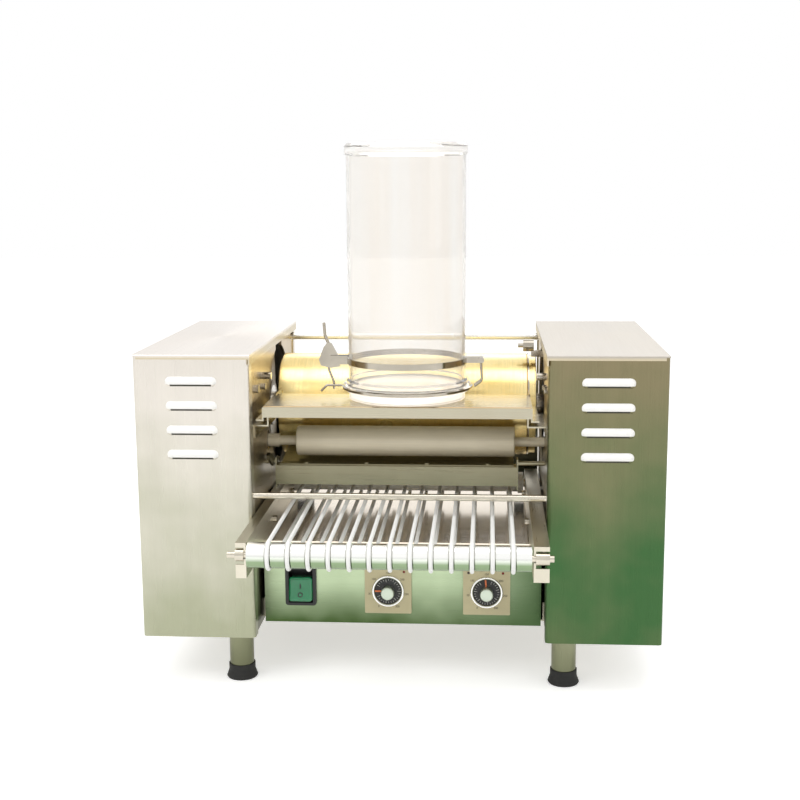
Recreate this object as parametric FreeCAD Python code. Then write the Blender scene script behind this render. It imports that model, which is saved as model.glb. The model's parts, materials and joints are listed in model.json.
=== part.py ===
"""Drum crepe maker: two louvred housings carry a heated gold drum, a batter tray with an
upturned clear canister, a take-off roller with its scraper, and a conveyor of round cords.

Millimetres. X runs across the machine, Y from front to back, Z up from the floor.
"""
import FreeCAD
import Part
import math
import os

V = FreeCAD.Vector

# Overall
machine_width = 520.0
housing_width = 115.0
housing_depth = 300.0
housing_height = 288.0
floor_gap = 52.0
cover_sheet = 1.5
wall_sheet = 3.0
fold_return = 15.0
bend_radius = 4.0
top_lip = 10.0
slip = 0.3
running_gap = 0.05

# Louvres in the front of each housing
louvre_count = 4
louvre_length = 51.0
louvre_height = 10.0
louvre_pitch = 24.3
louvre_first_drop = 26.5
louvre_radius = 6.5
louvre_mouth = 2.6
louvre_skin = 1.0

# Base box between the housings
panel_depth = 44.0
panel_side_gap = 4.0
base_rear_depth = 285.0
deck_height = 141.0
base_floor = 54.0
base_sheet = 1.5
deck_flange = 20.0

# Legs and feet
leg_radius = 12.5
leg_wall = 1.5
leg_from_middle = 165.5
leg_from_front = 30.0
foot_height = 15.0
foot_radius = 16.0
foot_neck_radius = 13.6
foot_plug = 8.0

# Drum and its bearings, measured back from the housing fronts
drum_depth = 188.0
drum_height = 260.0
drum_radius = 56.0
drum_wall = 5.0
drum_left_gap = 5.0
drum_right_gap = 15.0
drum_end_thickness = 6.0
stub_radius = 12.5
stub_bore = 8.0
drum_chamfer = 1.0
wall_hole_radius = 66.0
wall_slot_width = 40.0
bearing_width = 8.0
drum_bearing_radius = 20.0
small_shaft_radius = 5.0
small_bearing_radius = 11.0
bearing_flange = 3.0
bracket_gap = 8.0
bracket_half_width = 38.0
bracket_post_radius = 5.0

# Heater inside the drum: a fixed tube through the hollow left stub
heater_count = 3
heater_radius = 4.5
heater_circle = 28.0
heater_end_gap = 30.0
heater_disc_radius = 38.0
heater_tube_slip = 2.0
heater_clamp_gap = 14.0
heater_clamp_half = 34.0

# Gear train in the right housing
module = 2.0
gear_width = 8.0
gear_gap = 15.5
drum_teeth = 54
takeoff_teeth = 28
pinion_teeth = 18
idler_teeth = 14
conveyor_teeth = 13
pinion_reach = 48.64
tooth_slack = 0.22
pressure_angle = 20.0
tooth_addendum = 0.85
tooth_dedendum = 1.15

# Gearmotor and its bracket
motor_gap = 6.0
gearbox_radius = 34.0
gearbox_length = 28.0
motor_radius = 29.0
motor_length = 42.0
motor_cap_radius = 24.0
motor_cap_length = 4.0
motor_bracket_front = 33.0
motor_bracket_rear = 41.0
motor_bracket_low = 76.0
motor_bracket_top = 50.0

# Take-off roller
takeoff_drop = 27.0
takeoff_radius = 16.0
takeoff_left_gap = 30.0
takeoff_right_gap = 29.5

# Scraper under the take-off roller
scraper_depth = 92.0
scraper_drop = 46.0
scraper_left_gap = 11.0
scraper_right_gap = 27.5
scraper_face_below = 23.0
scraper_shelf_below = 3.0
scraper_sheet = 1.5
blade_sheet = 1.0
drum_clearance = 0.4
scraper_pin_radius = 2.5
blade_screw_count = 4
blade_screw_inset = 30.0

# Batter tray
tray_left_gap = 10.0
tray_right_gap = 15.5
tray_front = 20.0
tray_sheet = 1.5
tray_above_drum = 24.5
tray_lip = 1.5
tray_skirt = 10.0
tray_hook = 13.5
tray_slope_start = 104.0
tray_hook_reach = 8.0
tray_bracket_drop = 20.5
bracket_inset = 3.5

# Canister, upside down on the tray
canister_x = 4.5
canister_depth = 77.0
canister_radius = 60.0
canister_wall = 3.0
canister_height = 257.5
canister_end = 8.0
rim_height = 12.0
rim_proud = 1.8
lid_height = 14.7
lid_radius = 63.4
lid_hole_radius = 12.0
lid_foot_radius = 52.5
lid_foot_height = 2.0
gasket_height = 2.0
ring_wire_radius = 2.0
ring_above_lid = 14.1
band_above_lid = 38.0
band_height = 6.0
band_sheet = 1.2
toggle_pivot_out = 70.0
toggle_pivot_above_band = 0.5
toggle_pin_radius = 1.4
toggle_half_width = 2.2
fork_sheet = 0.5
pull_out = 76.0
pull_above_band = 8.5
pull_eye_radius = 2.0
pull_pin_radius = 0.8
thin_wire_radius = 1.2
tail_aside = 3.0
tail_run = 17.0

# Conveyor
roller_ahead = 88.0
roller_drop = 94.0
roller_radius = 12.0
roller_left_gap = 12.0
roller_right_gap = 17.3
cord_count = 13
cord_radius = 2.0
cord_line_radius = 12.6
cord_left_gap = 31.4
cord_right_gap = 33.96
cord_sides = 6
cord_turn_steps = 8
groove_root_radius = 9.2
groove_half_width = 3.0
roller_flange = 6.0
rear_roller_depth = 205.0
plate_left_gap = 10.4
plate_right_gap = 15.4
plate_sheet = 2.0
plate_above_axis = 11.8
plate_below_axis = 22.0
flange_left_gap = 0.4
flange_right_gap = 1.0
notch_below_axis = 9.0
notch_above_axis = 7.5
roller_shaft_radius = 3.25
collar_radius = 6.0
shaft_left_past = 7.4
shaft_right_past = 3.1
spacer_front_depth = 60.0
spacer_rear_depth = 180.0
spacer_drop = 6.0
spacer_radius = 5.0
bolt_head_radius = 3.6
bolt_head_length = 4.0

# Rods
front_rod_depth = 8.0
front_rod_gap = 14.1
front_rod_radius = 3.3
rear_rod_depth = 279.5
rear_rod_drop = 16.0
rear_rod_radius = 4.5

# Controls
switch_left_gap = 40.5
switch_width = 32.0
switch_low = 73.0
switch_height = 41.0
rocker_width = 24.5
rocker_height = 33.0
rocker_tilt = -7.0
rocker_pivot_depth = 2.0
rocker_pin_radius = 1.5
rocker_pin_reach = 0.5
dial_size = 48.0
dial_left_x = -14.0
dial_right_gap = 58.0
dial_low = 66.3
dial_face = 4.0
dial_body_size = 44.0
dial_body_depth = 62.0
dial_ring_radius = 16.0
dial_skirt_radius = 14.0
dial_knob_radius = 6.6
dial_knob_height = 11.0
dial_left_angle = -90.0
dial_right_angle = -5.0

# Mains inlet at the back and terminal block in the left housing
inlet_left_gap = 55.0
inlet_z = 95.0
inlet_half_width = 12.0
inlet_half_height = 8.0
inlet_wall = 1.5
inlet_flange = 11.5
inlet_flange_thickness = 3.0
inlet_depth = 22.0
inlet_well = 15.0
terminal_count = 6
terminal_pitch = 14.0
terminal_depth = 90.0
terminal_inset = 70.0
terminal_width = 24.0

# Small fittings on the inner walls: screws as depth, height above the tray's rim, radius, length
wall_screws = ((82.0, 21.0, 3.8, 9.5), (40.0, 14.0, 4.0, 4.0), (79.0, 10.0, 3.2, 4.0), (88.0, -129.0, 4.2, 4.0))
probe_depth = 165.0
probe_above_drum = 68.5
probe_radius = 2.35
probe_collar_radius = 6.5
probe_left_gap = 25.5
probe_right_gap = 8.5

# Heights and places that follow from the sizes above
outer_x = machine_width / 2
inner_x = outer_x - housing_width
wall_x = inner_x + cover_sheet
wall_out = wall_x + wall_sheet
housing_top = floor_gap + housing_height
cover_top = housing_top - cover_sheet
reach = roller_ahead + cord_line_radius + cord_radius
front_y = reach - (housing_depth + reach) / 2
gear_x = wall_out + gear_gap
gear_end = gear_x + gear_width
shaft_end = gear_end + 1.5
bracket_x = wall_out + bracket_gap
motor_face = gear_end + motor_gap

# Across the machine, from the housings' inner sides
drum_left = drum_left_gap - inner_x
drum_right = inner_x - drum_right_gap
takeoff_left = takeoff_left_gap - inner_x
takeoff_right = inner_x - takeoff_right_gap
scraper_left = scraper_left_gap - inner_x
scraper_right = inner_x - scraper_right_gap
tray_left = tray_left_gap - inner_x
tray_right = inner_x - tray_right_gap
roller_left = roller_left_gap - inner_x
roller_right = inner_x - roller_right_gap
cord_first = cord_left_gap - inner_x
cord_pitch = (2 * inner_x - cord_left_gap - cord_right_gap) / (cord_count - 1)
plate_left = plate_left_gap - inner_x
plate_right = inner_x - plate_right_gap
plate_flange_left = flange_left_gap - inner_x
plate_flange_right = inner_x - flange_right_gap
shaft_left = -inner_x - shaft_left_past
shaft_right = inner_x + shaft_right_past
switch_x = switch_left_gap - inner_x
dial_right_x = inner_x - dial_right_gap
inlet_x = inlet_left_gap - inner_x
probe_left = inner_x - probe_left_gap
probe_right = inner_x - probe_right_gap

# Heights, from the drum's axis
takeoff_height = drum_height - takeoff_drop
scraper_height = drum_height - scraper_drop
scraper_face_low = scraper_height - scraper_face_below
scraper_face_high = scraper_height - scraper_shelf_below
roller_height = drum_height - roller_drop
plate_top = roller_height + plate_above_axis
plate_low = roller_height - plate_below_axis
notch_low = roller_height - notch_below_axis
notch_high = roller_height + notch_above_axis
conveyor_top = roller_height + cord_line_radius + cord_radius
front_rod_height = conveyor_top + front_rod_gap + front_rod_radius
rear_rod_height = housing_top - rear_rod_drop
tray_floor = drum_height + tray_above_drum
tray_rim = tray_floor + tray_lip
tray_skirt_low = tray_floor - tray_skirt
tray_hook_low = tray_floor - tray_hook
tray_bracket_low = tray_floor - tray_bracket_drop
probe_height = drum_height + probe_above_drum
lid_low = tray_floor
canister_top = lid_low + canister_height
ring_height = lid_low + ring_above_lid
band_low = lid_low + band_above_lid
toggle_pivot_height = band_low + toggle_pivot_above_band
pull_height = band_low + pull_above_band
lid_top = lid_low + lid_height
body_low = lid_top + gasket_height
ring_radius = lid_radius + ring_wire_radius


def back(depth):
    """Y of a place that lies this far behind the housing fronts."""
    return front_y + depth


def box(x0, x1, y0, y1, z0, z1):
    return Part.makeBox(x1 - x0, y1 - y0, z1 - z0, V(x0, y0, z0))


def rod_x(x0, x1, y, z, radius):
    return Part.makeCylinder(radius, x1 - x0, V(x0, y, z), V(1, 0, 0))


def rod_y(y0, y1, x, z, radius):
    return Part.makeCylinder(radius, y1 - y0, V(x, y0, z), V(0, 1, 0))


def rod_z(z0, z1, x, y, radius):
    return Part.makeCylinder(radius, z1 - z0, V(x, y, z0), V(0, 0, 1))


def tube_x(x0, x1, y, z, radius, bore):
    return rod_x(x0, x1, y, z, radius).cut(rod_x(x0 - 1, x1 + 1, y, z, bore))


def sheet_along_x(x0, x1, points):
    """Extrude a closed outline, given as (y, z) points, from x0 to x1."""
    corners = [V(x0, y, z) for y, z in points]
    face = Part.Face(Part.makePolygon(corners + corners[:1]))
    return face.extrude(V(x1 - x0, 0, 0))


def revolve_z(x, y, points):
    """Turn a closed outline, given as (radius, z) points, about a vertical axis."""
    corners = [V(x + r, y, z) for r, z in points]
    face = Part.Face(Part.makePolygon(corners + corners[:1]))
    return face.revolve(V(x, y, 0), V(0, 0, 1), 360)


def revolve_x(y, z, points):
    """Turn a closed outline, given as (x, radius) points, about an axis along X."""
    corners = [V(x, y, z + r) for x, r in points]
    face = Part.Face(Part.makePolygon(corners + corners[:1]))
    return face.revolve(V(0, y, z), V(1, 0, 0), 360)


def round_edges(shape, radius, chosen):
    edges = [edge for edge in shape.Edges if chosen(edge)]
    return shape.makeFillet(radius, edges)


def is_along(edge, axis):
    if not isinstance(edge.Curve, Part.Line):
        return False
    return abs(abs(edge.Curve.Direction.dot(axis)) - 1) < 1e-6


def mirrored(shape):
    return shape.mirror(V(0, 0, 0), V(1, 0, 0))


def on_side(shape, side):
    """The right-hand shape itself, or its mirror image for the left side."""
    return shape if side == "right" else mirrored(shape)


def wire(points, radius, bend):
    """A round bent wire through the points, with tangent arcs of one bend radius."""
    edges = []
    start = points[0]
    for before, corner, after in zip(points, points[1:], points[2:]):
        toward = (before - corner).normalize()
        away = (after - corner).normalize()
        half = math.acos(max(-1.0, min(1.0, toward.dot(away)))) / 2
        cut_back = bend / math.tan(half)
        first = corner + toward * cut_back
        last = corner + away * cut_back
        middle_way = (toward + away).normalize()
        middle = corner + middle_way * (bend / math.sin(half) - bend)
        edges.append(Part.LineSegment(start, first).toShape())
        edges.append(Part.Arc(first, middle, last).toShape())
        start = last
    edges.append(Part.LineSegment(start, points[-1]).toShape())
    path = Part.Wire(edges)
    direction = (points[1] - points[0]).normalize()
    section = Part.Wire([Part.Circle(points[0], direction, radius).toShape()])
    return path.makePipeShell([section], True, False)


def mitred_ring(path, section):
    """A closed bar of straight runs in a plane of constant X, mitred at each corner of the path.

    The section's corners are given as (outward, sideways) steps from the path.
    """
    rings = []
    for number, corner in enumerate(path):
        before = (corner - path[number - 1]).normalize()
        after = (path[(number + 1) % len(path)] - corner).normalize()
        along = (before + after).normalize()
        outward = along.cross(V(1, 0, 0)).normalize()
        stretch = 1 / before.dot(along)
        rings.append([corner + outward * (out * stretch) + V(side, 0, 0) for out, side in section])
    faces = []
    for number, ring in enumerate(rings):
        following = rings[(number + 1) % len(rings)]
        for index in range(len(section)):
            step = (index + 1) % len(section)
            corners = [ring[index], ring[step], following[step], following[index], ring[index]]
            faces.append(Part.Face(Part.makePolygon(corners)))
    solid = Part.Solid(Part.Shell(faces))
    if solid.Volume < 0:
        solid.reverse()
    return solid


def save(node, *shapes):
    solids = []
    for shape in shapes:
        solids.extend(shape.Solids)
    whole = solids[0] if len(solids) == 1 else Part.makeCompound(solids)
    whole.exportStep("parts/" + node + ".step")


def circle_meet(first, first_radius, second, second_radius):
    """The point at both distances from two centres, on the side further back."""
    dy = second[0] - first[0]
    dz = second[1] - first[1]
    apart = math.hypot(dy, dz)
    along = (first_radius ** 2 - second_radius ** 2 + apart ** 2) / (2 * apart)
    off = math.sqrt(first_radius ** 2 - along ** 2)
    y = first[0] + along * dy / apart
    z = first[1] + along * dz / apart
    choices = [(y - off * dz / apart, z + off * dy / apart),
               (y + off * dz / apart, z - off * dy / apart)]
    return max(choices)


# Axes, as (y, z)
def gear_distance(teeth_a, teeth_b):
    return module * (teeth_a + teeth_b) / 2


drum_axis = (back(drum_depth), drum_height)
takeoff_span = gear_distance(drum_teeth, takeoff_teeth)
takeoff_axis = (drum_axis[0] - math.sqrt(takeoff_span ** 2 - takeoff_drop ** 2), takeoff_height)
rear_axis = (back(rear_roller_depth), roller_height)
pinion_axis = circle_meet(drum_axis, gear_distance(drum_teeth, pinion_teeth), rear_axis, pinion_reach)
front_axis = (front_y - roller_ahead, roller_height)
idler_axis = circle_meet(pinion_axis, gear_distance(pinion_teeth, idler_teeth),
                         rear_axis, gear_distance(idler_teeth, conveyor_teeth))
scraper_axis = (back(scraper_depth), scraper_height)
canister_y = back(canister_depth)


# Housings
def louvre(x, z):
    """A pressed hood, open below: returns what it adds and what it takes from the sheet."""
    half_height = louvre_height / 2
    set_back = math.sqrt(louvre_radius ** 2 - half_height ** 2)
    y = front_y + set_back
    half_run = louvre_length / 2 - half_height

    in_front = box(x - louvre_length, x + louvre_length, front_y - louvre_radius, front_y + cover_sheet,
                   z - louvre_height, z + louvre_height)
    mouth = box(x - half_run, x + half_run, front_y - louvre_radius, front_y,
                z - louvre_height, z - louvre_mouth)
    hollow = rod_x(x - half_run, x + half_run, y, z, louvre_radius - louvre_skin)
    ends = [Part.makeSphere(louvre_radius, V(x + side * half_run, y, z)) for side in (-1, 1)]
    body = rod_x(x - half_run, x + half_run, y, z, louvre_radius).fuse(ends)
    hood = body.cut(hollow).common(in_front).cut(mouth)
    return hood, hollow.common(in_front)


def side_cover():
    outer = box(inner_x, outer_x, front_y, back(housing_depth), floor_gap, cover_top)
    outer = round_edges(outer, bend_radius, lambda edge: is_along(edge, V(0, 0, 1)))
    inner = box(inner_x + cover_sheet, outer_x - cover_sheet, front_y + cover_sheet,
                back(housing_depth) - cover_sheet, floor_gap - 1, cover_top + 1)
    inner = round_edges(inner, bend_radius - cover_sheet, lambda edge: is_along(edge, V(0, 0, 1)))
    side_window = box(inner_x - 1, inner_x + cover_sheet, front_y + fold_return,
                      back(housing_depth) - fold_return, floor_gap - 1, cover_top + 1)
    rear_window = box(inner_x + fold_return, outer_x - fold_return, back(housing_depth) - cover_sheet,
                      back(housing_depth) + 1, floor_gap + fold_return, cover_top - fold_return)
    shell = outer.cut(inner).cut(side_window).cut(rear_window)
    middle = (inner_x + outer_x) / 2
    for number in range(louvre_count):
        z = housing_top - louvre_first_drop - number * louvre_pitch
        hood, hollow = louvre(middle, z)
        shell = shell.cut(hollow).fuse(hood)
    return shell.removeSplitter()


def top_cover():
    plate = box(inner_x - cover_sheet, outer_x, front_y - cover_sheet, back(housing_depth),
                cover_top, housing_top)
    inner_lip = box(inner_x - cover_sheet, inner_x, front_y - cover_sheet, back(housing_depth),
                    housing_top - top_lip, cover_top)
    front_lip = box(inner_x, outer_x - bend_radius, front_y - cover_sheet, front_y,
                    cover_top - 2 * cover_sheet, cover_top)
    cover = plate.fuse([inner_lip, front_lip]).removeSplitter()
    return round_edges(cover, 1.0, lambda edge: is_along(edge, V(1, 0, 0))
                       and edge.BoundBox.ZMin > housing_top - 0.01)


def bottom_plate():
    return box(wall_out, outer_x - cover_sheet, front_y + cover_sheet + bend_radius,
               back(housing_depth) - bend_radius, floor_gap, floor_gap + cover_sheet)


def rear_panel():
    panel = box(wall_out + 1, outer_x - bend_radius, back(housing_depth) - 2 * cover_sheet,
                back(housing_depth) - cover_sheet, floor_gap + bend_radius, cover_top - bend_radius)
    middle = (inner_x + outer_x) / 2
    slot_half = louvre_length / 2
    for number in range(louvre_count):
        z = housing_top - 2 * louvre_first_drop - number * louvre_pitch / 2
        slot = box(middle - slot_half, middle + slot_half, back(housing_depth) - 3 * cover_sheet,
                   back(housing_depth), z - cord_radius, z + cord_radius)
        panel = panel.cut(slot)
    return panel


def inner_wall():
    wall = box(wall_x, wall_out, front_y + bend_radius, back(housing_depth) - bend_radius,
               floor_gap, cover_top)
    y, z = drum_axis
    wall = wall.cut(rod_x(wall_x - 1, wall_out + 1, y, z, wall_hole_radius))
    wall = wall.cut(box(wall_x - 1, wall_out + 1, y - wall_slot_width / 2, y + wall_slot_width / 2,
                        z, cover_top + 1))
    for axis in (takeoff_axis, rear_axis):
        wall = wall.cut(rod_x(wall_x - 1, wall_out + 1, axis[0], axis[1], small_bearing_radius))
    wall = wall.cut(rod_x(wall_x - 1, wall_out + 1, scraper_axis[0], scraper_axis[1],
                          scraper_pin_radius + running_gap))
    return wall


def drum_bracket():
    """Carries the drum bearing behind the large hole in the inner wall."""
    y, z = drum_axis
    low = z - wall_hole_radius - 16
    plate = box(bracket_x, bracket_x + wall_sheet, y - bracket_half_width, y + bracket_half_width,
                low, cover_top - 2)
    boss = rod_x(bracket_x - bearing_width / 2, bracket_x + wall_sheet, y, z, drum_bearing_radius + 5)
    posts = []
    for dy in (-1, 1):
        for post_z in (low + 8, z + wall_hole_radius + 6):
            posts.append(rod_x(wall_out, bracket_x, y + dy * (bracket_half_width - 8), post_z,
                               bracket_post_radius))
    whole = plate.fuse([boss] + posts)
    return whole.cut(rod_x(wall_out - 1, bracket_x + 20, y, z, drum_bearing_radius)).removeSplitter()


def leg_places():
    rear = housing_depth - leg_from_front
    return [(side * leg_from_middle, back(depth)) for side in (-1, 1) for depth in (leg_from_front, rear)]


def leg_tube(x, y):
    tube = rod_z(foot_height, floor_gap, x, y, leg_radius)
    return tube.cut(rod_z(foot_height - 1, floor_gap - leg_wall, x, y, leg_radius - leg_wall))


def rubber_foot(x, y):
    plug = leg_radius - leg_wall - slip
    outline = [(0, 0), (foot_radius - 1, 0), (foot_radius, 1.5), (foot_neck_radius, foot_height * 0.55),
               (foot_neck_radius, foot_height), (plug, foot_height), (plug, foot_height + foot_plug),
               (0, foot_height + foot_plug)]
    return revolve_z(x, y, outline)


# Base box
def control_panel():
    y0 = back(panel_depth)
    y1 = y0 + base_sheet
    half = wall_x - panel_side_gap
    panel = box(-half, half, y0, y1, base_floor, deck_height - base_sheet)
    for side in (-1, 1):
        x0, x1 = sorted((side * half, side * (half - base_sheet)))
        panel = panel.fuse(box(x0, x1, y0, y0 + fold_return, base_floor, deck_height - base_sheet))
    panel = panel.removeSplitter()
    body_half = switch_width / 2 - 3
    panel = panel.cut(box(switch_x - body_half, switch_x + body_half, y0 - 1, y1 + 1,
                          switch_low + 3, switch_low + switch_height - 3))
    for x in (dial_left_x, dial_right_x):
        half_hole = dial_body_size / 2 + slip
        z = dial_low + dial_size / 2
        panel = panel.cut(box(x - half_hole, x + half_hole, y0 - 1, y1 + 1, z - half_hole, z + half_hole))
    return panel


def base_deck():
    top = box(-wall_x, wall_x, back(panel_depth), back(base_rear_depth), deck_height - base_sheet, deck_height)
    flanges = []
    for side in (-1, 1):
        x0, x1 = sorted((side * wall_x, side * (wall_x - base_sheet)))
        flanges.append(box(x0, x1, back(panel_depth) + fold_return, back(base_rear_depth),
                           deck_height - deck_flange, deck_height - base_sheet))
    return top.fuse(flanges).removeSplitter()


def base_bottom_plate():
    floor = box(-wall_x, wall_x, back(panel_depth) + base_sheet, back(base_rear_depth),
                base_floor, base_floor + base_sheet)
    half = wall_x - panel_side_gap
    floor = floor.cut(box(half - base_sheet, wall_x + 1, back(panel_depth), back(panel_depth) + fold_return,
                          base_floor - 1, base_floor + 5))
    floor = floor.cut(box(-wall_x - 1, base_sheet - half, back(panel_depth), back(panel_depth) + fold_return,
                          base_floor - 1, base_floor + 5))
    flanges = []
    for side in (-1, 1):
        x0, x1 = sorted((side * wall_x, side * (wall_x - base_sheet)))
        flanges.append(box(x0, x1, back(panel_depth) + fold_return, back(base_rear_depth),
                           base_floor, base_floor + deck_flange))
    return floor.fuse(flanges).removeSplitter()


def base_back_panel():
    y1 = back(base_rear_depth)
    inside = wall_x - base_sheet
    panel = box(-inside, inside, y1 - base_sheet, y1, base_floor + base_sheet, deck_height - base_sheet)
    half_width = inlet_half_width + inlet_wall + slip
    half_height = inlet_half_height + inlet_wall + slip
    return panel.cut(box(inlet_x - half_width, inlet_x + half_width, y1 - 5, y1 + 1,
                         inlet_z - half_height, inlet_z + half_height))


def inlet_body():
    y1 = back(base_rear_depth)
    half_width = inlet_half_width + inlet_wall
    half_height = inlet_half_height + inlet_wall
    return box(inlet_x - half_width, inlet_x + half_width, y1 - inlet_depth, y1,
               inlet_z - half_height, inlet_z + half_height)


def power_inlet():
    """A three-pin mains inlet, with its flange on the outside of the back panel."""
    y1 = back(base_rear_depth)
    half_width = inlet_half_width + inlet_flange
    half_height = inlet_half_height + inlet_wall + bend_radius
    flange = box(inlet_x - half_width, inlet_x + half_width, y1, y1 + inlet_flange_thickness,
                 inlet_z - half_height, inlet_z + half_height)
    well = box(inlet_x - inlet_half_width, inlet_x + inlet_half_width, y1 - inlet_well,
               y1 + inlet_flange_thickness + 1, inlet_z - inlet_half_height, inlet_z + inlet_half_height)
    well = round_edges(well, bend_radius, lambda edge: is_along(edge, V(0, 1, 0))
                       and edge.BoundBox.ZMin > inlet_z)
    shell = flange.fuse(inlet_body()).cut(well)
    pins = []
    for dx, dz in ((-7, -2), (0, 2), (7, -2)):
        pins.append(box(inlet_x + dx - 1, inlet_x + dx + 1, y1 - inlet_well - 1, y1 - 3,
                        inlet_z + dz - 2, inlet_z + dz + 2))
    return shell.fuse(pins).removeSplitter()


# Drum
def drum_shell():
    y, z = drum_axis
    shell = tube_x(drum_left, drum_right, y, z, drum_radius, drum_radius - drum_wall)
    rims = [edge for edge in shell.Edges if isinstance(edge.Curve, Part.Circle)
            and edge.Curve.Radius > drum_radius - drum_wall / 2]
    return shell.makeChamfer(drum_chamfer, rims)


def drum_end(side):
    """A disc in the end of the drum, with a hollow stub shaft through its bearing."""
    y, z = drum_axis
    if side == "left":
        x0, x1 = drum_left + 2, drum_left + 2 + drum_end_thickness
        stub = rod_x(-(bracket_x + bearing_width + 4), x0 + 1, y, z, stub_radius - running_gap)
        hub = rod_x(x1 - 1, x1 + 12, y, z, stub_radius + 8)
    else:
        x0, x1 = drum_right - 2 - drum_end_thickness, drum_right - 2
        stub = rod_x(x1 - 1, shaft_end, y, z, stub_radius - running_gap)
        hub = rod_x(x0 - 12, x0 + 1, y, z, stub_radius + 8)
    disc = rod_x(x0, x1, y, z, drum_radius - drum_wall)
    end = disc.fuse([stub, hub])
    return end.cut(rod_x(-outer_x, outer_x, y, z, stub_bore)).removeSplitter()


def bearing(x0, axis, radius, shaft):
    return tube_x(x0, x0 + bearing_width, axis[0], axis[1], radius - running_gap, shaft)


def shaft_bearings():
    rings = []
    x0 = bracket_x - bearing_width / 2
    right = bearing(x0, drum_axis, drum_bearing_radius, stub_radius)
    rings += [right, mirrored(right)]
    for axis in (takeoff_axis, rear_axis):
        flange = tube_x(wall_out, wall_out + 2, axis[0], axis[1], small_bearing_radius + bearing_flange,
                        small_shaft_radius + running_gap)
        right = flange.fuse(bearing(wall_x, axis, small_bearing_radius, small_shaft_radius + running_gap))
        right = right.removeSplitter()
        rings += [right, mirrored(right)]
    return rings


def heater_carrier():
    """A fixed tube through the hollow left stub, with two discs that hold the heater rods."""
    y, z = drum_axis
    left = -(bracket_x + bearing_width + heater_clamp_gap)
    tube = rod_x(left, drum_right - heater_end_gap + 8, y, z, stub_bore - heater_tube_slip)
    disc_places = (drum_left + heater_end_gap + 15, drum_right - heater_end_gap - 15)
    discs = [rod_x(x, x + 2, y, z, heater_disc_radius) for x in disc_places]
    clamp = box(left, left + 6, y - heater_clamp_half, y + heater_clamp_half, z - 9, z + 9)
    clamp_y = heater_clamp_half - 5
    posts = [rod_x(left, -(bracket_x + wall_sheet), y + dy * clamp_y, z, 4) for dy in (-1, 1)]
    whole = tube.fuse(discs + [clamp] + posts)
    for place in heater_places():
        whole = whole.cut(rod_x(drum_left, drum_right, place[0], place[1], heater_radius))
    return whole.removeSplitter()


def heater_places():
    y, z = drum_axis
    angles = [2 * math.pi * number / heater_count + math.radians(30) for number in range(heater_count)]
    return [(y + heater_circle * math.cos(angle), z + heater_circle * math.sin(angle)) for angle in angles]


def heater_rods():
    return [rod_x(drum_left + heater_end_gap, drum_right - heater_end_gap, y, z, heater_radius - running_gap)
            for y, z in heater_places()]


# Gears
def gear_outline(teeth, phase):
    """Each flank is two straight steps between three points of the involute."""
    pitch_radius = module * teeth / 2
    pressure = math.radians(pressure_angle)
    base = pitch_radius * math.cos(pressure)
    tip = pitch_radius + tooth_addendum * module
    root = pitch_radius - tooth_dedendum * module
    half_tooth = math.pi / (2 * teeth) - tooth_slack / (2 * pitch_radius)

    def involute(angle):
        return math.tan(angle) - angle

    def half_width(radius):
        angle = math.acos(min(1.0, base / radius))
        return half_tooth + involute(pressure) - involute(angle)

    def place(radius, angle):
        return V(0, radius * math.cos(angle), radius * math.sin(angle))

    foot = max(base, root)
    radii = (foot, (foot + tip) / 2, tip)
    corners = []
    for number in range(teeth):
        middle = phase + number * 2 * math.pi / teeth
        if root < foot - 0.01:
            corners.append(place(root, middle - half_width(foot)))
        corners += [place(radius, middle - half_width(radius)) for radius in radii]
        corners += [place(radius, middle + half_width(radius)) for radius in reversed(radii)]
        if root < foot - 0.01:
            corners.append(place(root, middle + half_width(foot)))
    return Part.makePolygon(corners + corners[:1])


def gear(axis, teeth, phase, bore):
    blank = Part.Face(gear_outline(teeth, phase)).extrude(V(gear_width, 0, 0))
    blank.translate(V(gear_x, axis[0], axis[1]))
    return blank.cut(rod_x(gear_x - 1, gear_end + 1, axis[0], axis[1], bore))


def meshed_phase(driver_axis, driver_teeth, driver_phase, axis, teeth):
    """Turns a gear so that one of its teeth stands in a gap of the driver."""
    toward = math.atan2(axis[1] - driver_axis[1], axis[0] - driver_axis[0])
    driver_step = 2 * math.pi / driver_teeth
    step = 2 * math.pi / teeth
    return toward + math.pi - step * (0.5 - (toward - driver_phase) / driver_step)


# Take-off roller and scraper
def takeoff_roller():
    y, z = takeoff_axis
    body = rod_x(takeoff_left, takeoff_right, y, z, takeoff_radius)
    body = body.makeChamfer(1.0, [edge for edge in body.Edges if isinstance(edge.Curve, Part.Circle)])
    shaft = rod_x(-wall_out - 5, shaft_end, y, z, small_shaft_radius)
    collar = rod_x(-wall_x + slip, -wall_x + 12, y, z, small_shaft_radius + 2)
    return body.fuse([shaft, collar]).removeSplitter()


def scraper_tip():
    """The blade's edge stands just off the drum, below and in front of its axis."""
    angle = math.radians(225)
    radius = drum_radius + drum_clearance
    return (drum_axis[0] + radius * math.cos(angle), drum_axis[1] + radius * math.sin(angle))


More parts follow.
